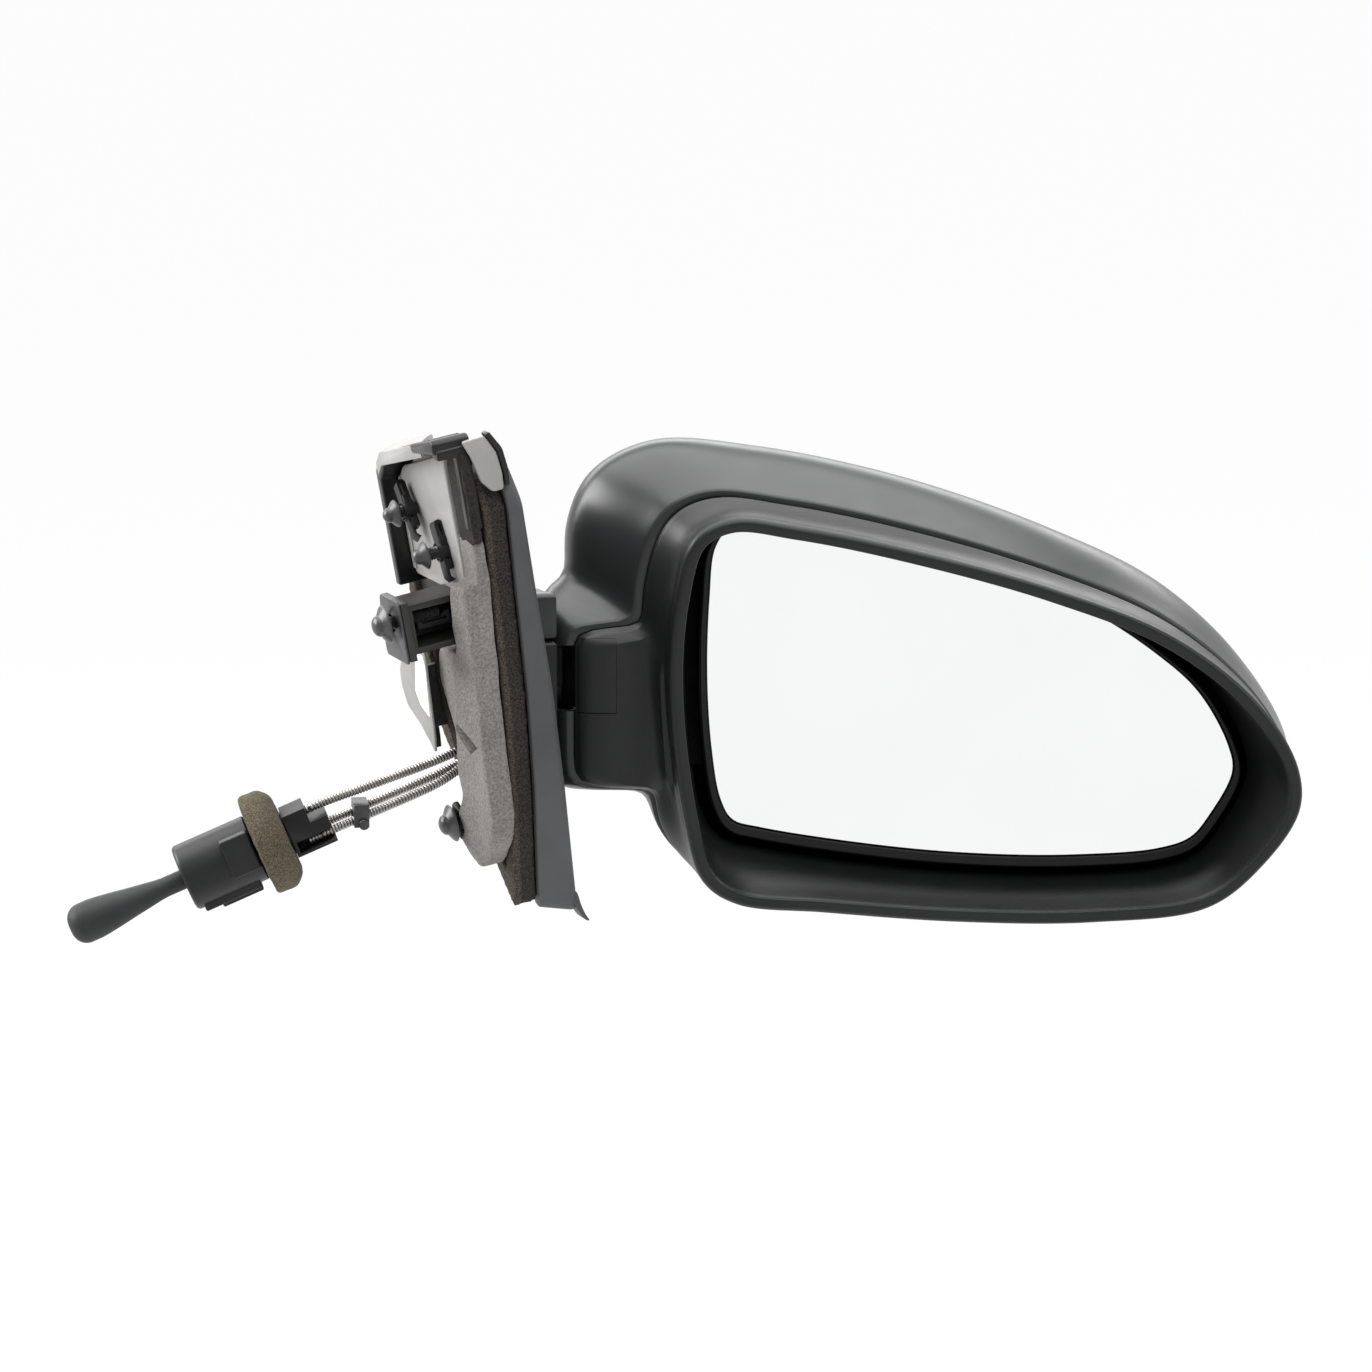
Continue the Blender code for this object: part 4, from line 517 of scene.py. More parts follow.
def run_along(points):
    """The length along a line up to each of its points."""
    return np.concatenate([[0.0], np.cumsum(np.linalg.norm(np.diff(points, axis=0), axis=1))])


def spaced(points, marks):
    """Points of a line at given lengths along it."""
    run = run_along(points)
    return np.column_stack([np.interp(marks, run, places) for places in points.T])


def smooth_loop(points, fine=20):
    """A dense closed smooth line through points in millimetres, in metres, anticlockwise."""
    pts = np.asarray(points, float) * MM
    count = len(pts)
    dense = []
    for k in range(count):
        four = [pts[(k + j) % count] for j in (-1, 0, 1, 2)]
        knots = [0.0]
        for j in range(3):
            knots.append(knots[-1] + np.linalg.norm(four[j + 1] - four[j]) ** 0.5)
        for t in np.linspace(knots[1], knots[2], fine, endpoint=False):
            a = [four[j] + (four[j + 1] - four[j]) * (t - knots[j]) / (knots[j + 1] - knots[j])
                 for j in range(3)]
            b = [a[j] + (a[j + 1] - a[j]) * (t - knots[j]) / (knots[j + 2] - knots[j]) for j in range(2)]
            dense.append(b[0] + (b[1] - b[0]) * (t - knots[1]) / (knots[2] - knots[1]))
    return anticlockwise(np.array(dense))


def offset(loop, distance):
    loop = np.asarray(loop, float)
    along = np.roll(loop, -1, axis=0) - np.roll(loop, 1, axis=0)
    normal = np.column_stack([along[:, 1], -along[:, 0]])
    normal /= np.linalg.norm(normal, axis=1)[:, None]
    return loop + normal * distance


def even(loop, count):
    ring = np.vstack([loop, loop[:1]])
    return spaced(ring, np.linspace(0, run_along(ring)[-1], count, endpoint=False))


def rounded(points, radius, steps=8):
    """A polygon in metres with its corners rounded, anticlockwise."""
    pts = anticlockwise([np.asarray(p, float) for p in points])
    loop = []
    for k, corner in enumerate(pts):
        before = pts[k - 1] - corner
        after = pts[(k + 1) % len(pts)] - corner
        reach = min(radius, 0.4 * np.linalg.norm(before), 0.4 * np.linalg.norm(after))
        start = corner + before / np.linalg.norm(before) * reach
        end = corner + after / np.linalg.norm(after) * reach
        for t in np.linspace(0, 1, steps + 1):
            loop.append((1 - t) ** 2 * start + 2 * t * (1 - t) * corner + t * t * end)
    return np.array(loop)


# Frames of the foot and the stick

DOOR_TOE = math.radians(14.0)
DOOR_LEAN = math.radians(10.0)
out_axis = Vector((math.cos(DOOR_TOE) * math.cos(DOOR_LEAN), math.sin(DOOR_TOE) * math.cos(DOOR_LEAN),
                   math.sin(DOOR_LEAN)))
forward_axis = Vector((-math.sin(DOOR_TOE), math.cos(DOOR_TOE), 0.0))
FOOT = Matrix((forward_axis, out_axis.cross(forward_axis), out_axis)).transposed().to_4x4()
STICK_AT = (-0.0845, -0.015, -0.0563)
STICK = Matrix.Translation(STICK_AT) @ Matrix.Rotation(-(math.pi / 2 + math.radians(22.5)), 4, "Y")

# The gasket's foam is brown towards the door; further out it turns black, which is painted shade
GASKET_BROWN_TO, GASKET_SHADE_FROM = 0.0018, 0.0028
gasket, gasket_fine = foam_look("gasket_foam", 1900.0, 0.00016)
gasket_brown = gasket.ramp(gasket_fine, [(0.34, (0.022, 0.018, 0.014)), (0.5, (0.048, 0.040, 0.031)),
                                         (0.66, (0.095, 0.080, 0.062))])
# Painted shade: the black speckle the gasket takes further out from the door
gasket_painted_shade = gasket.ramp(gasket_fine, [(0.36, (0.010, 0.009, 0.008)), (0.66, (0.046, 0.041, 0.035))])
gasket_shade_share = gasket.node("MapRange", {"Value": gasket.along(out_axis), "From Min": GASKET_BROWN_TO,
                                      "From Max": GASKET_SHADE_FROM})
gasket.colour(gasket.blend("MIX", gasket_shade_share.outputs[0], gasket_brown, gasket_painted_shade))
looks["gasket"] = gasket.material

# Head shells

HUB = np.array((0.110, -0.005))
RIM_Y, PART_Y, FLARE_Y, WAIST_Y, NOSE_Y = -0.031, -0.010, -0.026, 0.018, 0.058
DOME_POWER = 2.2
BULGE, BULGE_AT, BULGE_HALF = 0.0065, math.radians(-138.0), math.radians(22.0)
AROUND = 288
FOLD_X, FOLD_Y = 0.048, 0.006
RIM_OUTLINE = [
    (64, 0), (66, 30), (72, 49.5), (84, 55.7), (106, 52.8), (140, 45), (190, 30), (230, 13),
    (259, -10), (273, -32), (274, -47), (262, -65), (244, -78.5), (205, -82), (160, -80),
    (115, -75), (86, -71), (75, -63), (69, -43),
]
WAIST_OUTLINE = [
    (45, 0), (38, 28), (38, 48), (46, 64), (66, 73.8), (101, 71), (150, 59.5), (200, 41),
    (237, 22), (265, -4), (281, -32), (279, -48), (265, -64), (245, -73), (205, -77),
    (160, -75), (115, -71), (88, -66), (72, -54), (57, -28),
]
GLASS_OUTLINE = [
    (79.5, 0), (80.2, 26), (82.2, 43), (87, 49), (96, 48.6), (120, 44), (150, 37), (180, 28),
    (207, 18.3), (231, 2.5), (245, -10.5), (255.4, -28.8), (257, -38), (249.5, -52.5),
    (243, -60), (232, -63.4), (205, -64.5), (178, -63.4), (144, -59.7), (97.4, -51.1),
    (88, -48), (84, -41), (81, -24),
]
SKIN = 0.0020
RIM_WIDTH = 0.0045
PART_GROOVE = 0.0012
PART_EDGE = 0.0009
REBATE_LONG, REBATE_DEEP, REBATE_EASE = 0.0012, 0.0017, 0.0012
TONGUE_LENGTH, TONGUE_WALL, TONGUE_PLAY = 0.0040, 0.0012, 0.0006
NECK_RADIUS, NECK_TOP, NECK_TOP_Y, NECK_TOP_FALL = 0.0215, 0.029, 0.015, 0.010
NECK_BOTTOM, NECK_BOTTOM_RISE, NECK_ROUND_LENGTH = -0.0385, 0.006, 0.025
NECK_POWER, NECK_BLEND = 12.0, 16.0
NECK_FILLET_X, NECK_FILLET_Y, NECK_ROOT_X = 0.014, 0.007, 0.066
WINDOW_LOW, WINDOW_HIGH, WINDOW_REACH = -0.0095, 0.0122, (0.66, 1.4)
FOLD_BACK, FOLD_FORWARD, WINDOW_PLAY = math.radians(38.0), math.radians(50.0), math.radians(5.0)
PANEL_X = (0.0372, 0.0490)
PANEL_Z = (-0.0092, 0.0150)
PANEL_DEPTH_Y = -0.0105
PANEL_FINE, PANEL_OUT = 0.0001, 0.004
ARM_WIDTH = 0.009
CARRIER_LIP, CARRIER_DROP, CARRIER_RISE, CARRIER_FLOOR = 0.0024, 0.0014, 0.0007, 0.0025
RECESS_PLAY, RECESS_Y, FUNNEL_WALL, FUNNEL_BOW = 0.0034, -0.0040, 0.0016, 0.0012
GLASS_FRONT, GLASS_THICK, GLASS_EDGE, ADHESIVE = -0.0083, 0.0020, 0.0004, 0.0005
RIM_FILLET, RIM_INNER_FILLET = 0.0022, 0.0011
SLOPE_STEP, STEEPEST = 0.0004, 9.0
SHELL_SHARP = 32.0


def polar(loop):
    """How far an outline lies from the hub in each direction."""
    rel = np.asarray(loop, float) - HUB
    angle = np.arctan2(rel[:, 1], rel[:, 0])
    order = np.argsort(angle)
    reach = np.linalg.norm(rel, axis=1)[order]
    angle = angle[order]
    return lambda direction: np.interp(direction, angle, reach, period=2 * math.pi)


rim_line = smooth_loop(RIM_OUTLINE)
glass_line = smooth_loop(GLASS_OUTLINE)
carrier_line = offset(glass_line, CARRIER_LIP) - (0.0, CARRIER_DROP)
rim_reach = polar(rim_line)
waist_reach = polar(smooth_loop(WAIST_OUTLINE))
recess_reach = polar(offset(carrier_line, RECESS_PLAY))
opening_reach = polar(offset(rim_line, -RIM_WIDTH))
rim_even = even(rim_line, AROUND) - HUB
directions = np.arctan2(rim_even[:, 1], rim_even[:, 0])


def eased(part):
    """A smooth step from 0 to 1."""
    part = min(max(part, 0.0), 1.0)
    return part * part * (3 - 2 * part)


def neck_reach(direction, y):
    """How far the neck lies from the hub at a depth, or 0 beside it."""
    rear = FOLD_Y - NECK_RADIUS
    front = FOLD_Y + NECK_RADIUS
    shrink = 1.0
    if y <= rear - NECK_FILLET_Y or y >= front + NECK_FILLET_Y:
        return np.zeros_like(direction)
    if y < rear:
        part = (y - rear + NECK_FILLET_Y) / NECK_FILLET_Y
        left = NECK_ROOT_X - NECK_FILLET_X * (1 - math.sqrt(max(1 - part * part, 0.0)))
    elif y > front:
        left = FOLD_X
        shrink = math.sqrt(1 - ((y - front) / NECK_FILLET_Y) ** 2)
    else:
        left = FOLD_X - math.sqrt(max(NECK_RADIUS ** 2 - (y - FOLD_Y) ** 2, 0.0))
    top = NECK_TOP - NECK_TOP_FALL * ((y - NECK_TOP_Y) / NECK_ROUND_LENGTH) ** 2
    bottom = NECK_BOTTOM + NECK_BOTTOM_RISE * ((y - FOLD_Y) / NECK_ROUND_LENGTH) ** 2
    side = np.clip(-np.cos(direction), 0.0, None) / (HUB[0] - left)
    rise = np.sin(direction)
    rise = np.where(rise > 0, rise / (top - HUB[1]), -rise / (HUB[1] - bottom))
    reach = (side ** NECK_POWER + rise ** NECK_POWER) ** (-1.0 / NECK_POWER)
    return np.where(side > 0, reach * shrink, 0.0)


def bulge(direction, y):
    """The swell low on the inner side, from the rim's flare to the waist."""
    away = (direction - BULGE_AT + math.pi) % (2 * math.pi) - math.pi
    share = np.where(np.abs(away) < BULGE_HALF, np.cos(away / BULGE_HALF * math.pi / 2) ** 2, 0.0)
    part = (y - FLARE_Y) / (PART_Y - FLARE_Y) if y < PART_Y else (WAIST_Y - y) / (WAIST_Y - PART_Y)
    return BULGE * share * eased(part)


def head_reach(direction, y):
    """How far the head with its neck lies from the hub at a depth."""
    if y <= WAIST_Y:
        blend = eased((y - FLARE_Y) / (WAIST_Y - FLARE_Y))
        body = rim_reach(direction) * (1 - blend) + waist_reach(direction) * blend + bulge(direction, y)
    else:
        part = min((y - WAIST_Y) / (NOSE_Y - WAIST_Y), 1.0)
        body = waist_reach(direction) * (1 - part ** DOME_POWER) ** (1 / DOME_POWER)
    neck = neck_reach(direction, y)
    return (body ** NECK_BLEND + neck ** NECK_BLEND) ** (1 / NECK_BLEND)


def ring_at(reach, y):
    y = np.broadcast_to(y, np.shape(reach))
    return np.column_stack([HUB[0] + reach * np.cos(directions), y, HUB[1] + reach * np.sin(directions)])


def head_ring(y, depth_in=0.0):
    """A ring on the head's surface at a depth, or drawn in from it."""
    return ring_at(head_reach(directions, y) - depth_in, y)


def skin_rings(stations, picks):
    """Rings a wall inside the surface at the picked stations. The others only steady its slope."""
    reach = np.array([head_reach(directions, y) for y in stations])
    depth = np.repeat(np.asarray(stations, float)[:, None], len(directions), axis=1)
    along_r = np.gradient(reach, axis=0)
    along_y = np.gradient(depth, axis=0)
    size = np.hypot(along_r, along_y)
    return [ring_at(reach[k] - along_y[k] / size[k] * SKIN, depth[k] + along_r[k] / size[k] * SKIN)
            for k in picks]


def inside_ring(y, depth_in):
    """A ring a given way inside the surface, square to it as far as its slope allows."""
    rise = head_reach(directions, y + SLOPE_STEP) - head_reach(directions, y - SLOPE_STEP)
    slope = np.minimum((rise / (2 * SLOPE_STEP)) ** 2, STEEPEST)
    return head_ring(y, depth_in * np.sqrt(1 + slope))


neck_rear = FOLD_Y - NECK_RADIUS
neck_front = FOLD_Y + NECK_RADIUS
frame_end = PART_Y - PART_GROOVE / 2
cap_start = PART_Y + PART_GROOVE / 2
tongue_end = cap_start + TONGUE_LENGTH


def neck_angle(y):
    return math.acos((FOLD_Y - y) / NECK_RADIUS)


def cap_edge():
    """Rings that round the cap's edge at the parting line, from the edge outwards."""
    turns = np.radians((90, 65, 40, 18))
    return [head_ring(cap_start + PART_EDGE * (1 - math.sin(a)), PART_EDGE * (1 - math.cos(a)))
            for a in turns]


def rebate():
    """Rings of the step in the frame's edge, where the cap stands proud of it."""
    places = [(0.0, 1.0), (REBATE_LONG, 1.0), (REBATE_LONG + 0.0003, 0.75), (REBATE_LONG + 0.0004, 0.3),
              (REBATE_LONG + 0.0008, 0.06)]
    return [head_ring(frame_end - back, deep * REBATE_DEEP) for back, deep in places]


crest_y = RIM_Y + RIM_FILLET
outer_y = list(np.linspace(crest_y, neck_rear - NECK_FILLET_Y, 7, endpoint=False))
outer_y += [neck_rear - NECK_FILLET_Y * (1 - math.sin(a))
            for a in np.linspace(0, math.pi / 2, 14, endpoint=False)]
outer_y += [FOLD_Y - NECK_RADIUS * math.cos(a)
            for a in np.linspace(0.03, neck_angle(frame_end - REBATE_LONG - REBATE_EASE), 14)]
rings = rebate() + [head_ring(y) for y in reversed(outer_y)]
rim_out = head_reach(directions, crest_y)
opening = opening_reach(directions)
recess = recess_reach(directions)
for a in np.radians(np.linspace(15, 90, 6)):
    rings.append(ring_at(rim_out - RIM_FILLET * (1 - math.cos(a)), crest_y - RIM_FILLET * math.sin(a)))
for a in np.radians(np.linspace(90, 160, 5)):
    rings.append(ring_at(opening + RIM_INNER_FILLET * (1 + math.cos(a)),
                         RIM_Y + RIM_INNER_FILLET * (1 - math.sin(a))))
funnel_top = RIM_Y + RIM_INNER_FILLET
for t in np.linspace(0.06, 1.0, 10):
    bow = FUNNEL_BOW * math.sin(math.pi * t)
    rings.append(ring_at(opening + (recess - opening) * t + bow, funnel_top + (RECESS_Y - funnel_top) * t))
rings.append(ring_at(recess + FUNNEL_WALL, RECESS_Y))
rings.append(ring_at(opening + FUNNEL_WALL, neck_rear - NECK_FILLET_Y + SKIN / 2))
back_y = [neck_rear - NECK_FILLET_Y, neck_rear - 0.003, neck_rear - 0.0001, neck_rear + 0.0004,
          neck_rear + 0.003, frame_end, tongue_end]
rings += skin_rings(back_y, range(1, 5))
tongue_out = SKIN + TONGUE_PLAY
tongue_in = tongue_out + TONGUE_WALL
rings += [inside_ring(y, tongue_in) for y in (frame_end, tongue_end)]
rings += [inside_ring(y, tongue_out) for y in (tongue_end, frame_end)]
frame_mesh = loft(rings, closed=True)

cap_y = list(np.linspace(cap_start + PART_EDGE, tongue_end, 3))
cap_y += [FOLD_Y - NECK_RADIUS * math.cos(a) for a in np.linspace(neck_angle(tongue_end), math.pi, 30)[1:]]
cap_y += [neck_front + NECK_FILLET_Y * math.sin(a) for a in np.linspace(0, math.pi / 2, 10)[1:]]
dome_from = (cap_y[-1] - WAIST_Y) / (NOSE_Y - WAIST_Y)
for a in np.linspace(math.asin(dome_from ** (DOME_POWER / 2)), math.pi / 2, 26)[1:-1]:
    cap_y.append(WAIST_Y + (NOSE_Y - WAIST_Y) * math.sin(a) ** (2 / DOME_POWER))
outer = cap_edge() + [head_ring(y) for y in cap_y]
inner_y = [cap_start, tongue_end, 0.001, 0.008, WAIST_Y, 0.0235, neck_front, 0.034, 0.042, 0.049, 0.054,
           0.0572]
inner = [inside_ring(y, SKIN) for y in (cap_start, tongue_end)] + skin_rings(inner_y, (2, 3, 4, 6, 7, 8, 9))
cap_mesh = loft(list(reversed(inner)) + outer, (HUB[0], NOSE_Y - SKIN, HUB[1]), (HUB[0], NOSE_Y, HUB[1]))

arm_half = math.asin(ARM_WIDTH / 2 / NECK_RADIUS)
window_from = math.pi - FOLD_FORWARD - WINDOW_PLAY - arm_half
window_to = math.pi + FOLD_BACK + WINDOW_PLAY + arm_half


def round_pivot(share, start, end, steps):
    """Points about the fold pivot at a share of the neck's radius."""
    reach = share * NECK_RADIUS
    turns = np.linspace(start, end, steps)
    return [(FOLD_X + reach * math.cos(a), FOLD_Y + reach * math.sin(a)) for a in turns]


window_loop = round_pivot(WINDOW_REACH[1], window_from, window_to, 24)
window_loop += round_pivot(WINDOW_REACH[0], window_to, window_from, 16)


panel_low = (PANEL_X[0], neck_rear - PANEL_OUT, PANEL_Z[0])
panel_high = (PANEL_X[1], PANEL_DEPTH_Y, PANEL_Z[1])
panel_mesh = boolean(frame_mesh.copy(), "INTERSECT", box(panel_low, panel_high))
panel_hole = box([c - gap for c, gap in zip(panel_low, (PANEL_FINE, GAP, GAP))],
                 [c + gap for c, gap in zip(panel_high, (PANEL_FINE, GAP, PANEL_FINE))])
frame_mesh = cut(frame_mesh, prism(window_loop, WINDOW_LOW, WINDOW_HIGH), panel_hole)
cap_mesh = cut(cap_mesh, prism(window_loop, WINDOW_LOW, WINDOW_HIGH))
piece("bezel_frame_shell", frame_mesh, "frame", "bezel_frame", SHELL_SHARP, "head")
piece("upper_cap_shell", cap_mesh, "cap", "upper_cap", SHELL_SHARP, "head")
piece("pivot_access_panel", panel_mesh, "frame", "pivot_access_cover", SHELL_SHARP, "head")

# Glass and carrier


def flat_ring(line, y):
    line = even(line, 360)
    return np.column_stack([line[:, 0], np.full(len(line), y), line[:, 1]])


def slab(line, rear, front, edge):
    """A sheet along Y with its two edges broken."""
    return loft([flat_ring(offset(line, -edge), rear), flat_ring(line, rear + edge),
                 flat_ring(line, front - edge), flat_ring(offset(line, -edge), front)])


glass_mesh = slab(glass_line, GLASS_FRONT, GLASS_FRONT + GLASS_THICK, GLASS_EDGE)
piece("mirror_glass_sheet", glass_mesh, "mirror", "mirror_glass", 20.0, "glass")
CARRIER_EDGE, CARRIER_LIP_EDGE, POCKET_EDGE = 0.0010, 0.0006, 0.0003
floor_y = GLASS_FRONT + GLASS_THICK + ADHESIVE + 2 * GAP
carrier_back = floor_y + CARRIER_FLOOR
carrier_front = GLASS_FRONT - CARRIER_RISE
pocket = offset(glass_line, GAP)
carrier_mesh = loft([
    flat_ring(offset(carrier_line, -CARRIER_EDGE), carrier_back),
    flat_ring(carrier_line, carrier_back - CARRIER_EDGE),
    flat_ring(carrier_line, carrier_front + CARRIER_LIP_EDGE),
    flat_ring(offset(carrier_line, -CARRIER_LIP_EDGE), carrier_front),
    flat_ring(offset(pocket, POCKET_EDGE), carrier_front),
    flat_ring(pocket, carrier_front + POCKET_EDGE),
    flat_ring(pocket, floor_y),
])
PIVOT = Vector((0.169, 0.005, -0.008))
EAR_HALF, EAR_Z, PIN_HOLE, PIN_REACH = 0.004, (0.0130, 0.0160), 0.0018, Vector((0.0, 0.0, 0.019))
for sign in (-1, 1):
    ear_low, ear_high = sorted(PIVOT.z + sign * z for z in EAR_Z)
    ear = box((PIVOT.x - EAR_HALF, carrier_back - CARRIER_EDGE, ear_low),
              (PIVOT.x + EAR_HALF, PIVOT.y + EAR_HALF, ear_high))
    carrier_mesh = join(carrier_mesh, ear)
carrier_mesh = cut(carrier_mesh, rod(PIN_HOLE, PIVOT - PIN_REACH, PIVOT + PIN_REACH, 24))
piece("glass_carrier_tray", carrier_mesh, "carrier", "glass_carrier", 30.0, "glass")

# Foot: cover strip

COVER_OUTLINE = [
    (-14.5, -79.5), (-31, -36), (-42, 0), (-48.5, 35), (-55, 66), (-48, 79), (30, 72), (38, 60),
    (38, 10), (33, -20), (7, -55),
]
COVER_ROUND, COVER_LOW, COVER_HIGH, COVER_SLOPE = 0.005, 0.008, 0.0172, -0.057
COVER_TOE, COVER_TOE_START, COVER_TOE_LENGTH = 0.36, -0.060, 0.015
COVER_WALL, COVER_EDGE, COVER_BREAK = 0.0025, 0.0030, 0.0004
ARM_PLAY, ARM_HOLE_X, ARM_HOLE_Z = 0.0012, (0.004, 0.034), (-0.020, 0.010)
LIP_F, LIP_BREAK = (-16.5, -9.5), 0.4
LIP_PROFILE = [
    (-75, 19.3), (-80, 20.0), (-83, 21.2), (-85.6, 22.8), (-86, 23.9), (-83.5, 22.9), (-80, 22.0),
    (-75, 21.0),
]


def inset_polygon(points, distance):
    """A polygon in millimetres drawn in by a distance, in metres and anticlockwise."""
    pts = anticlockwise([Vector(p) * MM for p in points])
    result = []
    for k, corner in enumerate(pts):
        before = (corner - pts[k - 1]).normalized()
        after = (pts[(k + 1) % len(pts)] - corner).normalized()
        inward = Vector((-before.y - after.y, before.x + after.x)).normalized()
        result.append(corner + inward * distance / max(inward.dot(Vector((-before.y, before.x))), 0.2))
    return result


def cover_line(inset):
    return rounded(inset_polygon(COVER_OUTLINE, inset), max(COVER_ROUND - inset, COVER_ROUND * 0.3))


def cover_high(v):
    return COVER_HIGH + COVER_SLOPE * v


def cover_ring(loop, w):
    """A ring of the cover at heights w, drawn down towards the toe."""
    toe = np.clip((COVER_TOE_START - loop[:, 1]) / COVER_TOE_LENGTH, 0.0, 1.0)
    return np.column_stack([loop[:, 0], loop[:, 1] - COVER_TOE * toe * (w - COVER_LOW), w])


cover_rings = [level(cover_line(COVER_BREAK), COVER_LOW), level(cover_line(0.0), COVER_LOW + COVER_BREAK)]
for a in np.radians(np.linspace(0, 90, 8)):
    line = cover_line(COVER_EDGE * (1 - math.cos(a)))
    high = cover_high(line[:, 1])
    edge = np.minimum(COVER_EDGE, 0.5 * (high - COVER_LOW))
    cover_rings.append(cover_ring(line, high - edge * (1 - math.sin(a))))
cover_mesh = loft(cover_rings)
lip_loop = even(smooth_loop(LIP_PROFILE, 6), 40)
lip_rings = []
for f, ease in ((LIP_F[0], LIP_BREAK), (LIP_F[0] + LIP_BREAK, 0.0),
                (LIP_F[1] - LIP_BREAK, 0.0), (LIP_F[1], LIP_BREAK)):
    lip_rings.append(across(offset(lip_loop, -ease * MM), f * MM))
cover_mesh = join(cover_mesh, loft(lip_rings))
hollow_line = cover_line(COVER_WALL)
hollow_top = np.column_stack([hollow_line, cover_high(hollow_line[:, 1]) - COVER_WALL])
cover_mesh = cut(cover_mesh, loft([level(hollow_line, COVER_LOW - 0.002), hollow_top]))
moved(cover_mesh, FOOT)
arm_half_hole = ARM_WIDTH / 2 + ARM_PLAY
cover_mesh = cut(cover_mesh, box((ARM_HOLE_X[0], FOLD_Y - arm_half_hole, ARM_HOLE_Z[0]),
                                 (ARM_HOLE_X[1], FOLD_Y + arm_half_hole, ARM_HOLE_Z[1] + ARM_PLAY)))
piece("base_cover_shell", cover_mesh, "strip", "base_cover", SHELL_SHARP)

# Neck seat: the moulding between the cover and the turning neck

SEAT_X, SEAT_Y, SEAT_CLEAR, SEAT_EDGE = (0.0110, 0.0360), (-0.0080, 0.0040), 0.0008, 0.0020
SEATS = {"upper": ("cap", 0.0139, 0.0290), "lower": ("frame", -0.0365, 0.0133)}
BLADE_HALF, BLADE_X, BLADE_Z, BLADE_EDGE = 0.0042, (0.0150, 0.0345), (-0.0089, 0.0), 0.0005
NECK_REACH_Z = 0.05
for name, (look, low, high) in SEATS.items():
    seat_mesh = bevelled(box((SEAT_X[0], SEAT_Y[0], low), (SEAT_X[1], SEAT_Y[1], high)), SEAT_EDGE, 5)
    neck_ends = [(FOLD_X, FOLD_Y, z) for z in (-NECK_REACH_Z, NECK_REACH_Z)]
    neck_room = rod(NECK_RADIUS + SEAT_CLEAR, *neck_ends, 128)
    seat_mesh = cut(seat_mesh, neck_room)
    if name == "lower":
        blade = box((BLADE_X[0], FOLD_Y - BLADE_HALF, BLADE_Z[0]),
                    (BLADE_X[1], FOLD_Y + BLADE_HALF, BLADE_Z[1]))
        seat_mesh = join(seat_mesh, bevelled(blade, BLADE_EDGE))
    piece("neck_seat_" + name, seat_mesh, look)

# Foam pieces


def softened(mesh, voxel, rounds, waves, fold, stretch=(1.0, 1.0, 1.0)):
    """A foam body: the solid remeshed, its edges eased, its faces gently uneven."""
    def change(item):
        step = item.modifiers.new("remesh", "REMESH")
        step.mode = "VOXEL"
        step.voxel_size = voxel
        ease = item.modifiers.new("ease", "SMOOTH")
        ease.factor = 0.5
        ease.iterations = rounds

    mesh = evaluated(mesh, change)
    normals = [vert.normal.copy() for vert in mesh.vertices]
    for vert, normal in zip(mesh.vertices, normals):
        at = Vector([vert.co[k] * stretch[k] for k in range(3)])
        vert.co += normal * (fold * noise.noise(at * waves) - 0.5 * fold)
    mesh.update()
    return mesh


def in_foot(points):
    return [(x * MM, y * MM) for x, y in points]


def slab_in_foot(points, low, high, corner=0.0, edge=0.0):
    """A flat plate of the foot: an outline in f and v with rounded corners, between two heights."""
    loop = rounded(in_foot(points), corner) if corner else np.array(in_foot(points))
    mesh = prism(loop, low, high)
    return bevelled(mesh, edge) if edge else mesh


PAD_OUTLINE = [
    (-35, 42.5), (-35, 18), (-9, 16), (-6, 2), (-14, -16), (-13, -34), (-3, -44), (-3, -50),
    (-8, -57), (-13, -60), (-18, -56.5), (-27, -49.5), (-33.6, -41), (-36.4, -20), (-41, 1.5),
    (-45.7, 23), (-49, 35), (-50.5, 42.5),
]
PAD_LOW, PAD_HIGH, PAD_TOP_LOW = -0.0090, -0.0003, -0.0048
PAD_TOP = [(-36.5, 40), (-36.5, 57), (-51.4, 57), (-50.6, 40)]
PAD_HOLE = [(-20.5, -7.2), (-23.5, -7.6), (-33.0, -14.0), (-26.5, -17.4), (-22.5, -12.5)]
RIDGE_TOP, RIDGE_END = (-29.0, 10.0), (-20.9, -10.0)
RIDGE_HIGH, RIDGE_BEFORE, RIDGE_BEHIND, PAD_FLAT = 0.0022, 0.007, 0.014, -0.0070
RIDGE_EASE, RIDGE_POWER = 0.0015, 1.3
PAD_ROUND, PAD_TOP_ROUND, PAD_HOLE_ROUND, PAD_HOLE_W = 0.007, 0.003, 0.0008, (-0.014, 0.0005)
PAD_SCREW_HOLE, PAD_SCREW_W = 0.0040, (-0.012, 0.002)
# Where the door screws stand in the foot, in f and v
SCREW_AT = {
    "upper": (-0.0045, 0.0600), "middle": (-0.0270, 0.0500), "side": (-0.0250, 0.0310),
    "lower": (-0.0035, -0.0450),
}


def pad_relief(mesh):
    """The pad's face rises to a low ridge and falls slowly behind it."""
    slope = (RIDGE_TOP[0] - RIDGE_END[0]) / (RIDGE_TOP[1] - RIDGE_END[1])
    for vert in mesh.vertices:
        f, v, w = vert.co
        behind = (RIDGE_TOP[0] + slope * (v / MM - RIDGE_TOP[1])) * MM - f
        deep = min(max((PAD_FLAT - w) / RIDGE_EASE, 0.0), 1.0)
        reach = RIDGE_BEHIND if behind > 0 else RIDGE_BEFORE
        vert.co.z -= deep * RIDGE_HIGH * max(1.0 - abs(behind) / reach, 0.0) ** RIDGE_POWER
    mesh.update()
    return mesh


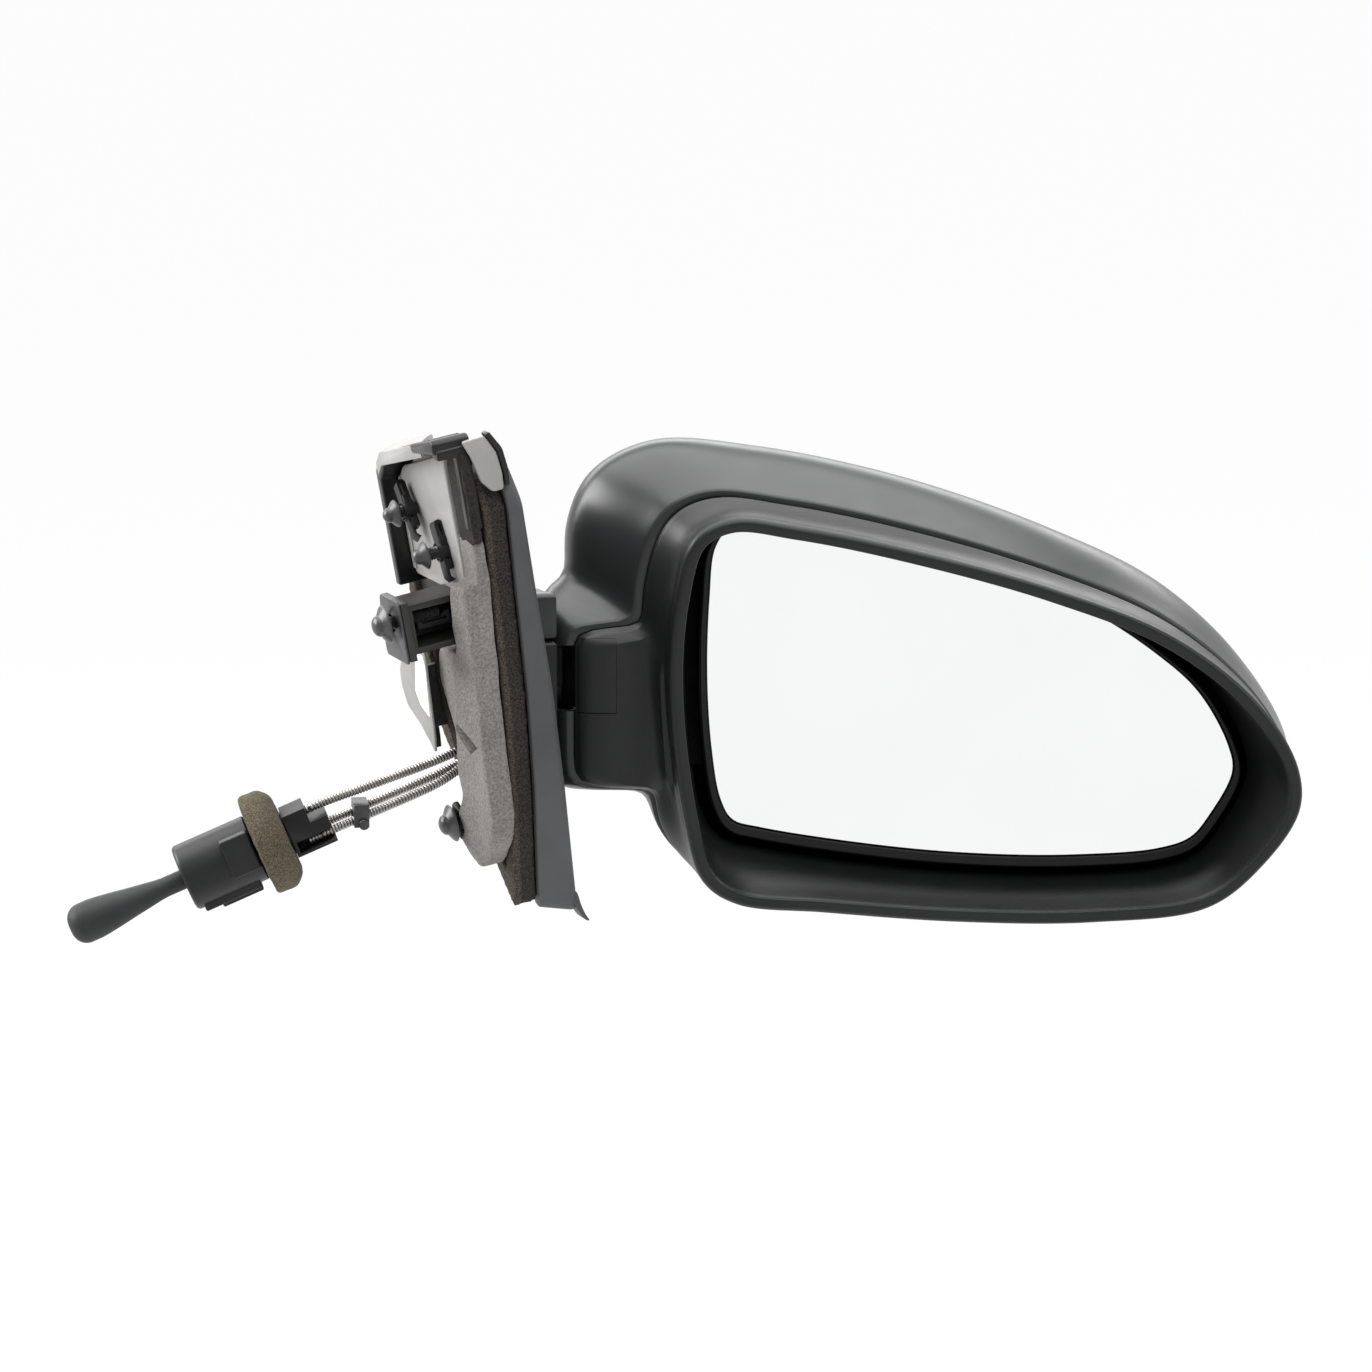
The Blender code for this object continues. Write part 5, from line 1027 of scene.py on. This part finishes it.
pad_mesh = slab_in_foot(PAD_OUTLINE, PAD_LOW, PAD_HIGH, PAD_ROUND)
pad_mesh = join(pad_mesh, slab_in_foot(PAD_TOP, PAD_TOP_LOW, PAD_HIGH, PAD_TOP_ROUND))
pad_mesh = cut(pad_mesh, rod(PAD_SCREW_HOLE, *((*SCREW_AT["lower"], w) for w in PAD_SCREW_W)))
pad_mesh = softened(pad_mesh, voxel=0.0007, rounds=12, waves=110.0, fold=0.0004, stretch=(1.0, 1.0, 0.5))
pad_mesh = cut(pad_relief(pad_mesh), slab_in_foot(PAD_HOLE, *PAD_HOLE_W, PAD_HOLE_ROUND))
pad_mesh = moved(pad_mesh, FOOT)
soft_piece("foam_pad_soft", pad_mesh, "pad", "foam_pad")

gasket_mesh = softened(node_mesh("door_gasket"), voxel=0.0008, rounds=3, waves=300.0, fold=0.0002)
soft_piece("door_gasket_soft", gasket_mesh, "gasket", "door_gasket")
STRIP_LINE = [(-39.4, 55), (-53.4, 55), (-53.4, 85.5), (-48.5, 84.2), (-39.4, 82)]
STRIP_LOW, STRIP_HIGH, STRIP_ROUND = -0.0046, -0.0014, 0.0035
strip_mesh = moved(slab_in_foot(STRIP_LINE, STRIP_LOW, STRIP_HIGH, STRIP_ROUND), FOOT)
strip_mesh = softened(strip_mesh, voxel=0.0005, rounds=5, waves=200.0, fold=0.0003)
soft_piece("hood_foam_soft", strip_mesh, "strip_foam", "hood_foam_strip")
WING_SEAL = [(-8.4, 15.5), (-5.4, 2), (-13.4, -16), (-13.0, -22), (-9.0, -19), (-2.2, 3), (-5.6, 15.5)]
SEAL_LOW, SEAL_HIGH, SEAL_ROUND = -0.0090, -0.0005, 0.0010
seal_mesh = moved(slab_in_foot(WING_SEAL, SEAL_LOW, SEAL_HIGH, SEAL_ROUND), FOOT)
seal_mesh = softened(seal_mesh, voxel=0.0006, rounds=3, waves=300.0, fold=0.0002)
soft_piece("wing_seal_strip", seal_mesh, "strip_foam")

# Foot: light panel, hood, bracket, block and clips

UPPER_PANEL = [(9.2, 36), (9.2, 67.5), (3, 73), (-30, 81), (-38.8, 83.3), (-38.8, 36)]
PANEL_STEP = [(9.0, 38), (9.0, 67.0), (6.4, 69.5), (6.4, 38)]
HOOD_TAB = [(-29, 86.4), (-50, 90.6), (-51.5, 89.2), (-51.3, 86), (-47.2, 85.4), (-29.4, 83.6)]
WING_FACE = [
    (-11.5, 15.5), (2, 15.5), (13, 9.2), (17.6, 4), (18.6, -1), (16.4, -8), (6.6, -12.4), (-1.4, -18),
    (-4, -20.6), (-6.5, -13), (-9, 2),
]
WING_FACE_LOW, WING_FACE_HIGH = -0.0139, -0.0131
# Each plate's outline in f and v, its heights, the rounding of its corners and edges, and its look
PLATES = {
    "upper_panel_plate": (UPPER_PANEL, -0.0052, -0.0003, 0.0025, 0.0006, "pale"),
    "upper_panel_edge": (PANEL_STEP, -0.0057, -0.0050, 0.0008, 0.0003, "pale"),
    "hood_top_tab": (HOOD_TAB, -0.0119, 0.0006, 0.0016, 0.0010, "hood"),
    "wing_face_plate": (WING_FACE, WING_FACE_LOW, WING_FACE_HIGH, 0.0025, 0.0003, "wing"),
}
for name, (*shape, look) in PLATES.items():
    piece(name, moved(slab_in_foot(*shape), FOOT), look)

# The hood's rear wall is cut back to the foam strip
HOOD_TRIM, HOOD_EDGE = ((-0.0600, 0.0500, -0.0140), (-0.0386, 0.0840, -0.0050)), 0.0012
hood_trim = moved(box(*HOOD_TRIM), FOOT)
hood_mesh = bevelled(cut(node_mesh("corner_hood"), hood_trim), HOOD_EDGE, 4)
piece("corner_hood_shell", hood_mesh, "hood", "corner_hood")

# The roof skin is pale as a painted reflection of the light on the dark hood's top face
ROOF_SHEEN_LINE = [(11.0, 74.2), (6.0, 78.3), (-37.0, 87.6)]
ROOF_LOW, ROOF_HIGH, ROOF_RISE, ROOF_THICK = -0.0112, -0.0003, 0.0022, 0.0045
ROOF_BACK, ROOF_SLOPE = 0.0185, 0.231
roof_sheen_rings = []
for share in np.linspace(0, 1, 7):
    w = ROOF_LOW + (ROOF_HIGH - ROOF_LOW) * share
    lift = ROOF_RISE * math.sin(share * math.pi / 2)
    line = np.array(in_foot(ROOF_SHEEN_LINE)) + (0.0, lift)
    line[-1] += (ROOF_BACK * share, -ROOF_BACK * share * ROOF_SLOPE)
    line = np.vstack([line - (0.0, ROOF_THICK), line[::-1]])
    roof_sheen_rings.append(level(line, w))
piece("hood_roof_painted_sheen", moved(bevelled(loft(roof_sheen_rings), 0.0003, 2, 50.0), FOOT), "pale")

# The rear plate is pale as a painted reflection on the hood's dark rear face; the trim beside it keeps the
# hood's own dark plastic
REAR_SHEEN = [(88.6, -2.9), (89, 4.6), (83, 7.6), (76, 8.4), (71, 8.0), (71, 4.2), (75, 1.0), (83, -0.8)]
REAR_TRIM = [(89.3, 4.8), (83.2, 7.8), (76, 8.7), (72, 8.4), (72, 10.0), (77, 10.4), (84, 9.6), (90, 6.2)]
REAR_SHEEN_F, REAR_TRIM_F, REAR_ROUND, REAR_EDGE = (-0.0541, -0.0520), (-0.0545, -0.0500), 0.0012, 0.0007


def rear_slab(points, places):
    """A plate square to the foot's f axis: an outline in v and w between two places along f."""
    loop = rounded(in_foot(points), REAR_ROUND)
    return moved(bevelled(loft([across(loop, f) for f in places]), REAR_EDGE), FOOT)


piece("hood_rear_painted_sheen", rear_slab(REAR_SHEEN, REAR_SHEEN_F), "pale")
piece("hood_rear_trim", rear_slab(REAR_TRIM, REAR_TRIM_F), "hood")

WING_TRIM = [
    (30, 20), (30, -34), (-3.9, -34), (-3.9, -20.5), (-1, -17.5), (7, -12), (17, -8), (19.3, -1), (18.4, 8),
    (22, 20),
]
WING_TRIM_W, WING_TRIM_ROUND, BRACKET_EDGE = (-0.0150, -0.0100), 0.0025, 0.0004
wing_trim = moved(slab_in_foot(WING_TRIM, *WING_TRIM_W, WING_TRIM_ROUND), FOOT)
bracket_mesh = bevelled(cut(node_mesh("base_bracket"), wing_trim), BRACKET_EDGE, 2)
piece("base_bracket_casting", bracket_mesh, "cast", "base_bracket")

BLOCK_EDGE = 0.0005
INSERT = ((-0.0245, 0.0262, -0.0185), (-0.0188, 0.0308, -0.0070))
INSERT_SLOT = ((-0.0250, 0.0280, -0.0170), (-0.0235, 0.0290, -0.0085))
piece("clip_block_shell", node_mesh("clip_block", BLOCK_EDGE), "block", "clip_block")
insert = cut(bevelled(box(*INSERT), BLOCK_EDGE), box(*INSERT_SLOT))
piece("clip_block_insert", moved(insert, FOOT), "insert")
SPRING_PLATE = [(-34.8, 18.8), (-14.6, 18.8), (-14.6, 30), (-17.5, 39.2), (-34.8, 39.2)]
PLATE_W, PLATE_ROUND, PLATE_EDGE = (-0.0268, -0.0263), 0.0016, 0.00012
PLATE_HOLE, PLATE_HOLE_W = 0.0031, (-0.030, -0.020)
PLATE_TONGUE = ((-0.0150, 0.0200, -0.0268), (-0.0145, 0.0290, -0.0225))
spring_plate = slab_in_foot(SPRING_PLATE, *PLATE_W, PLATE_ROUND)
spring_plate = cut(spring_plate, rod(PLATE_HOLE, *((*SCREW_AT["side"], w) for w in PLATE_HOLE_W)))
spring_plate = join(spring_plate, box(*PLATE_TONGUE))
piece("block_spring_plate", moved(bevelled(spring_plate, PLATE_EDGE, 2), FOOT), "dark")

# Spring clips round three of the screws

CLIP_LEAF, CLIP_OPEN, CLIP_HOLE = 0.0009, 0.15, 0.0026
COLLAR_IN, COLLAR_OUT = 0.0027, 0.0035
BARB_HALF, BARB_THICK, BARB_PLACES = 0.0016, 0.0006, (-0.55, 0.35)


def spring_clip(at, turn, length, width, low, high):
    """A spring nut: two leaves joined by a bend, a collar round the screw and barbs on its sides."""
    half, wide = length / 2, width / 2
    middle, bend = (high + low) / 2, (high - low) / 2

    def bow(radius, start, end):
        turns = np.linspace(start, end, 9)
        return [(half + radius * math.sin(a), middle - radius * math.cos(a)) for a in turns]

    loop = [(-half, low), *bow(bend, CLIP_OPEN, math.pi - CLIP_OPEN), (-half * 0.7, high)]
    loop += [(-half * 0.7, high - CLIP_LEAF), *bow(bend - CLIP_LEAF, math.pi - CLIP_OPEN, CLIP_OPEN)]
    loop += [(-half, low + CLIP_LEAF), (-half - 0.0012, low + 2.2 * CLIP_LEAF)]
    loop += [(-half - 0.0016, low + 1.4 * CLIP_LEAF)]
    body = loft([across(loop, x) for x in (-wide, wide)])
    collar = [(COLLAR_IN, low - 0.0008), (COLLAR_OUT - 0.0004, low - 0.0008), (COLLAR_OUT, low + 0.0002),
              (COLLAR_OUT, high), (COLLAR_IN, high)]
    body = join(body, lathe(collar, 32))
    for sign in (-1, 1):
        for place in BARB_PLACES:
            barb = box((sign * wide - BARB_THICK, place * half - BARB_HALF, low + 0.0002),
                       (sign * wide + BARB_THICK, place * half + BARB_HALF, high - 0.0006))
            body = join(body, bevelled(barb, 0.0003))
    body = cut(body, rod(CLIP_HOLE, (0, 0, low - 0.004), (0, 0, high + 0.004)))
    at_screw = FOOT @ Matrix.Translation((*at, 0.0)) @ Matrix.Rotation(turn, 4, "Z")
    return moved(bevelled(body, 0.00015, 2, 40.0), at_screw)


# Each clip's turn, length, width and two heights
CLIPS = {
    "upper": (math.radians(-32.0), 0.0175, 0.0044, -0.0096, -0.0066),
    "middle": (math.radians(-18.0), 0.0170, 0.0054, -0.0078, -0.0050),
    "lower": (math.radians(25.0), 0.0085, 0.0070, -0.0110, -0.0085),
}
for name, shape in CLIPS.items():
    piece("screw_clip_%s_body" % name, spring_clip(SCREW_AT[name], *shape), "black", "screw_clip_" + name)

# Screws with a pressed flange, a dome and a thread

SCREW_RADIUS, SCREW_FLANGE, SCREW_FLANGE_THICK = 0.0022, 0.0062, 0.0018
SCREW_DOME, SCREW_DOME_HIGH, SCREW_LENGTH = 0.0034, 0.0026, 0.0200
THREAD_PITCH, THREAD_DEPTH = 0.0008, 0.00045


def screw_mesh(wide):
    """A screw along Z with its head at the top. wide scales the head across."""
    top = SCREW_FLANGE_THICK + SCREW_DOME_HIGH
    profile = []
    for a in np.radians(np.linspace(10, 90, 10)):
        high = SCREW_DOME_HIGH * (0.12 + 0.88 * math.cos(a))
        profile.append((SCREW_DOME * math.sin(a), SCREW_FLANGE_THICK + high))
    profile += [(SCREW_DOME + 0.0002, SCREW_FLANGE_THICK + 0.0001),
                (SCREW_FLANGE - 0.0006, SCREW_FLANGE_THICK * 0.35),
                (SCREW_FLANGE - 0.0001, SCREW_FLANGE_THICK * 0.08), (SCREW_FLANGE, -0.0001),
                (SCREW_FLANGE - 0.0003, -0.0003), (SCREW_DOME, 0.0004), (SCREW_RADIUS, 0.0004)]
    turns = np.linspace(0, 2 * math.pi, 48, endpoint=False)
    rings = [turned(r * wide, z, turns) for r, z in profile]
    for z in np.arange(0.0004, SCREW_LENGTH - 0.002, THREAD_PITCH / 6):
        phase = (z / THREAD_PITCH + turns / (2 * math.pi)) % 1.0
        rings.append(turned(SCREW_RADIUS - THREAD_DEPTH * np.abs(2 * phase - 1), -z, turns))
    return loft(rings, (0.0, 0.0, top), (0.0, 0.0, -SCREW_LENGTH))


FACE_DOOR = Matrix.Rotation(math.pi, 4, "X")
# Each screw's height in the foot and how wide its head is
SCREWS = {
    "upper": (-0.0125, 0.72), "middle": (-0.0125, 0.72), "side": (-0.0290, 1.0), "lower": (-0.0125, 1.0),
}
for name, (w, wide) in SCREWS.items():
    mesh = moved(screw_mesh(wide), FOOT @ Matrix.Translation((*SCREW_AT[name], w)) @ FACE_DOOR)
    piece("door_screw_%s_flange" % name, mesh, "screw", "door_screw_" + name)

# Conduits: wound steel, free from the grommet to the stick

CONDUIT_RADIUS, CONDUIT_VALLEY, CONDUIT_TOP = 0.0015, 0.0012, 0.0164
ANCHOR_END, SOCKET_DEPTH = -0.0430, 0.0085
SOCKETS = [(4.6, 0.0), (-2.6, 3.0), (-4.2, -3.0)]
ROUTES = {
    "upper": [
        (-14, -7, -26.8), (0, -2.5, -22.4), (8, 1, -19.2), (12.6, 3.2, -12.5), (15.2, 5, -4.5),
        (19.2, 6, 3.2), (26, 6, 6.2), (32, 6, 6.2), (38.5, 6, 6.2), (42.9, 6, 7.9), (44.8, 6, 12.2),
        (44.8, 6, 17),
    ],
    "middle": [
        (-12, -5.0, -31.5), (0, -0.2, -27.2), (8.2, 3.4, -23.6), (14.6, 5.2, -15.2), (18.6, 5.8, -6.6),
        (23.2, 6, 0.4), (29.5, 6, 3), (36, 6, 3), (41.8, 6, 3), (46.1, 6, 4.8), (48, 6, 9),
        (48, 6, 17),
    ],
    "lower": [
        (-12, -9.5, -33.5), (0, -4.3, -28.0), (8.2, -0.6, -24.4), (16.4, 2.8, -17.4), (21.0, 4.8, -9.8),
        (26.0, 6, -3.0), (32.5, 6, -0.2), (39, 6, -0.2), (45, 6, -0.2), (49.3, 6, 1.6), (51.2, 6, 6),
        (51.2, 6, 17),
    ],
}
COIL_PITCH, COIL_VALLEY, COIL_FINE, COIL_SIDES = 0.00105, 0.00095, 8, 16
HIDDEN_PITCH, HIDDEN_STEP = 0.004, 5
GROMMET_X, COIL_SHARP = 0.0085, 60.0
STRAIGHT_OUT = (0.0, 0.004, 0.009)


def smooth_path(points, step):
    """A smooth line through points, in even steps."""
    pts = np.asarray(points, float)
    ends = np.vstack([2 * pts[0] - pts[1], pts, 2 * pts[-1] - pts[-2]])
    dense = []
    for k in range(1, len(ends) - 2):
        a, b, c, d = ends[k - 1:k + 3]
        for t in np.linspace(0, 1, 24, endpoint=False):
            dense.append(0.5 * (2 * b + (c - a) * t + (2 * a - 5 * b + 4 * c - d) * t * t
                                + (3 * b - a - 3 * c + d) * t ** 3))
    dense.append(pts[-1])
    dense = np.array(dense)
    length = run_along(dense)[-1]
    return spaced(dense, np.linspace(0, length, max(2, int(round(length / step)) + 1)))


def coil_tube(path, radius, valley, pitch):
    """A tube whose skin is a close winding: one round rib for each turn of the wire."""
    ahead = np.gradient(path, axis=0)
    ahead /= np.linalg.norm(ahead, axis=1)[:, None]
    run = run_along(path)
    side = np.cross(ahead[0], (0.0, 1.0, 0.0))
    turns = np.linspace(0, 2 * math.pi, COIL_SIDES, endpoint=False)
    rings = []
    for k in range(len(path)):
        side = side - ahead[k] * np.dot(side, ahead[k])
        side /= np.linalg.norm(side)
        other = np.cross(ahead[k], side)
        phase = (run[k] / pitch) % 1.0
        r = valley + (radius - valley) * math.sqrt(max(1 - (2 * phase - 1) ** 2, 0.0))
        rings.append(path[k] + np.outer(r * np.cos(turns), side) + np.outer(r * np.sin(turns), other))
    return loft(rings)


anchor_dir = STICK.to_3x3() @ Vector((0.0, 0.0, -1.0))
for (name, way), (sx, sy) in zip(ROUTES.items(), SOCKETS):
    start = STICK @ Vector((sx * MM, sy * MM, ANCHOR_END + SOCKET_DEPTH))
    first = [np.array(start + anchor_dir * reach) for reach in STRAIGHT_OUT]
    rest = [np.array(p, float) * MM for p in way[:-1]]
    top = np.array([way[-1][0] * MM, way[-1][1] * MM, CONDUIT_TOP])
    line = smooth_path(first + rest + [top], COIL_PITCH / COIL_FINE)
    leaves = int(np.argmin(np.abs(line[:, 0] - GROMMET_X)))
    free = line[:leaves + 1][::-1]
    hidden = line[leaves:][::HIDDEN_STEP]
    coil = coil_tube(free, CONDUIT_RADIUS, COIL_VALLEY, COIL_PITCH)
    cord = piece("conduit_%s_coil" % name, coil, "steel", "conduit_" + name, COIL_SHARP)
    hidden_coil = coil_tube(hidden, CONDUIT_VALLEY, COIL_VALLEY, HIDDEN_PITCH)
    piece("conduit_%s_run" % name, hidden_coil, "steel", sharp=COIL_SHARP)

# Stick adjuster

HOUSING_RADIUS, HOUSING_BORE, HOUSING_FRONT, HOUSING_BACK = 0.0110, 0.0088, 0.0070, -0.0180
HOUSING_MOUTH, HOUSING_SEAT, HOUSING_SEAT_Z, HOUSING_EDGE = 0.0072, 0.0058, (-0.0030, 0.0015), 0.0014
housing_profile = [(HOUSING_MOUTH, HOUSING_FRONT), (HOUSING_RADIUS - 0.0018, HOUSING_FRONT)]
housing_corner = (HOUSING_RADIUS - HOUSING_EDGE, HOUSING_FRONT - HOUSING_EDGE)
housing_profile += arc(housing_corner, HOUSING_EDGE, 75, 0, 5)
housing_profile += [(HOUSING_RADIUS, HOUSING_BACK + 0.0004), (HOUSING_RADIUS - 0.0004, HOUSING_BACK),
                    (HOUSING_BORE, HOUSING_BACK), (HOUSING_BORE, HOUSING_SEAT_Z[0]),
                    (HOUSING_SEAT, HOUSING_SEAT_Z[0]), (HOUSING_SEAT, HOUSING_SEAT_Z[1])]
housing_mesh = lathe(housing_profile, 72)
TAB_X, TAB_OUT, TAB_IN, TAB_BACK, TAB_FRONT, TAB_EDGE = (-0.004, 0.009), 0.0012, 0.003, 0.0004, 0.0100, 0.0006
BORE_PAST, BORE_WALL = 0.002, 0.0006


def side_block(stands_out, reaches_in, half, back, front, edge):
    """A block on the housing's side, with its half width and its way from the housing's two ends."""
    low = (-HOUSING_RADIUS - stands_out, -half, HOUSING_BACK + back)
    high = (-HOUSING_RADIUS + reaches_in, half, HOUSING_FRONT - front)
    return bevelled(box(low, high), edge)


rail = side_block(stands_out=0.0022, reaches_in=0.001, half=0.0035, back=0.003, front=0.008, edge=0.0005)
tab = bevelled(box((TAB_X[0], -HOUSING_RADIUS - TAB_OUT, HOUSING_BACK + TAB_BACK),
                   (TAB_X[1], -HOUSING_RADIUS + TAB_IN, HOUSING_BACK + TAB_FRONT)), TAB_EDGE)
keel = side_block(stands_out=0.0006, reaches_in=0.006, half=0.006, back=0.003, front=0.0025, edge=0.0006)
bore_ends = [(0, 0, z) for z in (HOUSING_BACK - BORE_PAST, HOUSING_FRONT + BORE_PAST)]
keel = cut(keel, rod(HOUSING_BORE + BORE_WALL, *bore_ends, 48))
housing_mesh = join(housing_mesh, rail, tab, keel)
piece("adjuster_housing_body", moved(housing_mesh, STICK), "housing", "adjuster_housing", SHELL_SHARP)

LEVER_TIP, LEVER_ROUND, STEM_RADIUS, BALL_RADIUS = 0.0466, 0.0050, 0.0032, 0.0055
TAIL_RADIUS, TAIL_FOOT, TAIL_Z = 0.0020, 0.0048, (-0.0076, -0.0090)
lever_profile = [(0.0, LEVER_TIP)]
lever_profile += arc((0.0016, LEVER_TIP - LEVER_ROUND), LEVER_ROUND, 84, 6, 12)
lever_profile += [(0.0066, 0.0406), (0.0066, 0.0381), (0.0064, 0.0361), (0.0057, 0.0310), (0.0048, 0.0255),
                  (0.0040, 0.0200), (0.0034, 0.0160), (STEM_RADIUS, 0.0136)]
ball_from = math.asin(STEM_RADIUS / BALL_RADIUS)
for a in np.linspace(ball_from, math.pi - math.asin(TAIL_RADIUS / BALL_RADIUS), 16):
    lever_profile.append((BALL_RADIUS * math.sin(a), BALL_RADIUS * math.cos(a)))
lever_profile += [(TAIL_RADIUS, TAIL_Z[0]), (TAIL_FOOT, TAIL_Z[0]), (TAIL_FOOT, TAIL_Z[1]),
                  (0.0, TAIL_Z[1])]
lever_mesh = moved(lathe(lever_profile, 64), STICK)
piece("adjuster_lever_grip", lever_mesh, "lever", "adjuster_lever", 35.0, "lever")

RING_OUTER, RING_FRONT, RING_BACK = 0.0170, -0.0183, -0.0290
RING_BORE, RING_FRONT_EDGE, RING_BACK_EDGE = 0.0075, 0.0016, 0.0056
ring_profile = [(RING_BORE, RING_FRONT)]
ring_profile += arc((RING_OUTER - RING_FRONT_EDGE, RING_FRONT - RING_FRONT_EDGE), RING_FRONT_EDGE, 85, 0, 6)
ring_profile += arc((RING_OUTER - RING_BACK_EDGE, RING_BACK + RING_BACK_EDGE), RING_BACK_EDGE, 0, -85, 12)
ring_profile += [(RING_BORE, RING_BACK)]
ring_mesh = moved(lathe(ring_profile, 96), STICK)
ring_mesh = softened(ring_mesh, voxel=0.0006, rounds=3, waves=260.0, fold=0.0003)
soft_piece("adjuster_ring_soft", ring_mesh, "ring_foam", "adjuster_foam_ring")

ANCHOR_STEPS = [((0.002, -0.008, -0.044), (0.008, 0.008, -0.0372)),
                ((-0.0062, -0.008, -0.044), (-0.0024, -0.0012, -0.0305))]
ANCHOR_EDGE, SOCKET_Z = 0.0005, (-0.045, ANCHOR_END + SOCKET_DEPTH + GAP)
anchor_mesh = node_mesh("cable_anchor", ANCHOR_EDGE)
anchor_cuts = [box(*corners) for corners in ANCHOR_STEPS]
for sx, sy in SOCKETS:
    anchor_cuts.append(rod(CONDUIT_RADIUS + GAP, *((sx * MM, sy * MM, z) for z in SOCKET_Z)))
for tool in anchor_cuts:
    anchor_mesh = cut(anchor_mesh, moved(tool, STICK))
piece("cable_anchor_body", anchor_mesh, "black", "cable_anchor")

clip_low, clip_high = (Vector(corner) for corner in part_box("cable_clip"))
clip_mid = (clip_low + clip_high) / 2
NUB_RADIUS, NUB_X, NUB_Z, NUB_OUT = 0.0017, 0.0006, 0.0012, 0.0016
nub = rod(NUB_RADIUS, (clip_mid.x + NUB_X, clip_low.y - NUB_OUT, clip_low.z + NUB_Z),
          (clip_mid.x + NUB_X, clip_mid.y, clip_low.z + NUB_Z))
clip_mesh = join(node_mesh("cable_clip", 0.0008, 4), bevelled(nub, 0.0003))
piece("cable_clip_band", clip_mesh, "dark", "cable_clip")

# Bare label on the wing

LABEL_W, LABEL_THICK = WING_FACE_LOW - 0.00002, 0.00012
LABEL = [(-2.6, 13.8), (4.6, -0.9), (1.6, -5.4), (-5.4, -8.0), (-8.0, 1.8), (-10.0, 9.0), (-9.6, 13.8)]
label_loop = rounded(in_foot(LABEL), 0.0008, 3)
label = prism(label_loop, LABEL_W, LABEL_W - LABEL_THICK)
piece("bare_label", moved(label, FOOT), "paper", sharp=30.0)

# CAD nodes that stay get a finished material

KEPT = {
    "actuator_base": "black", "arm_shroud": "frame", "cable_grommet": "rubber", "head_bracket": "cast",
    "adhesive_pad": "rubber",
}
BARE_STEEL = ("actuator_screw", "cap_screw", "pull_wire", "head_conduit", "fold_spring", "gimbal_ring",
              "lever_cross_pin", "pivot_tube", "spring_cup", "thrust_washer")
KEPT.update({name: "steel" for name in nodes if name.startswith(BARE_STEEL)})
for name, look in KEPT.items():
    for slot in nodes[name].material_slots:
        slot.material = looks[look]
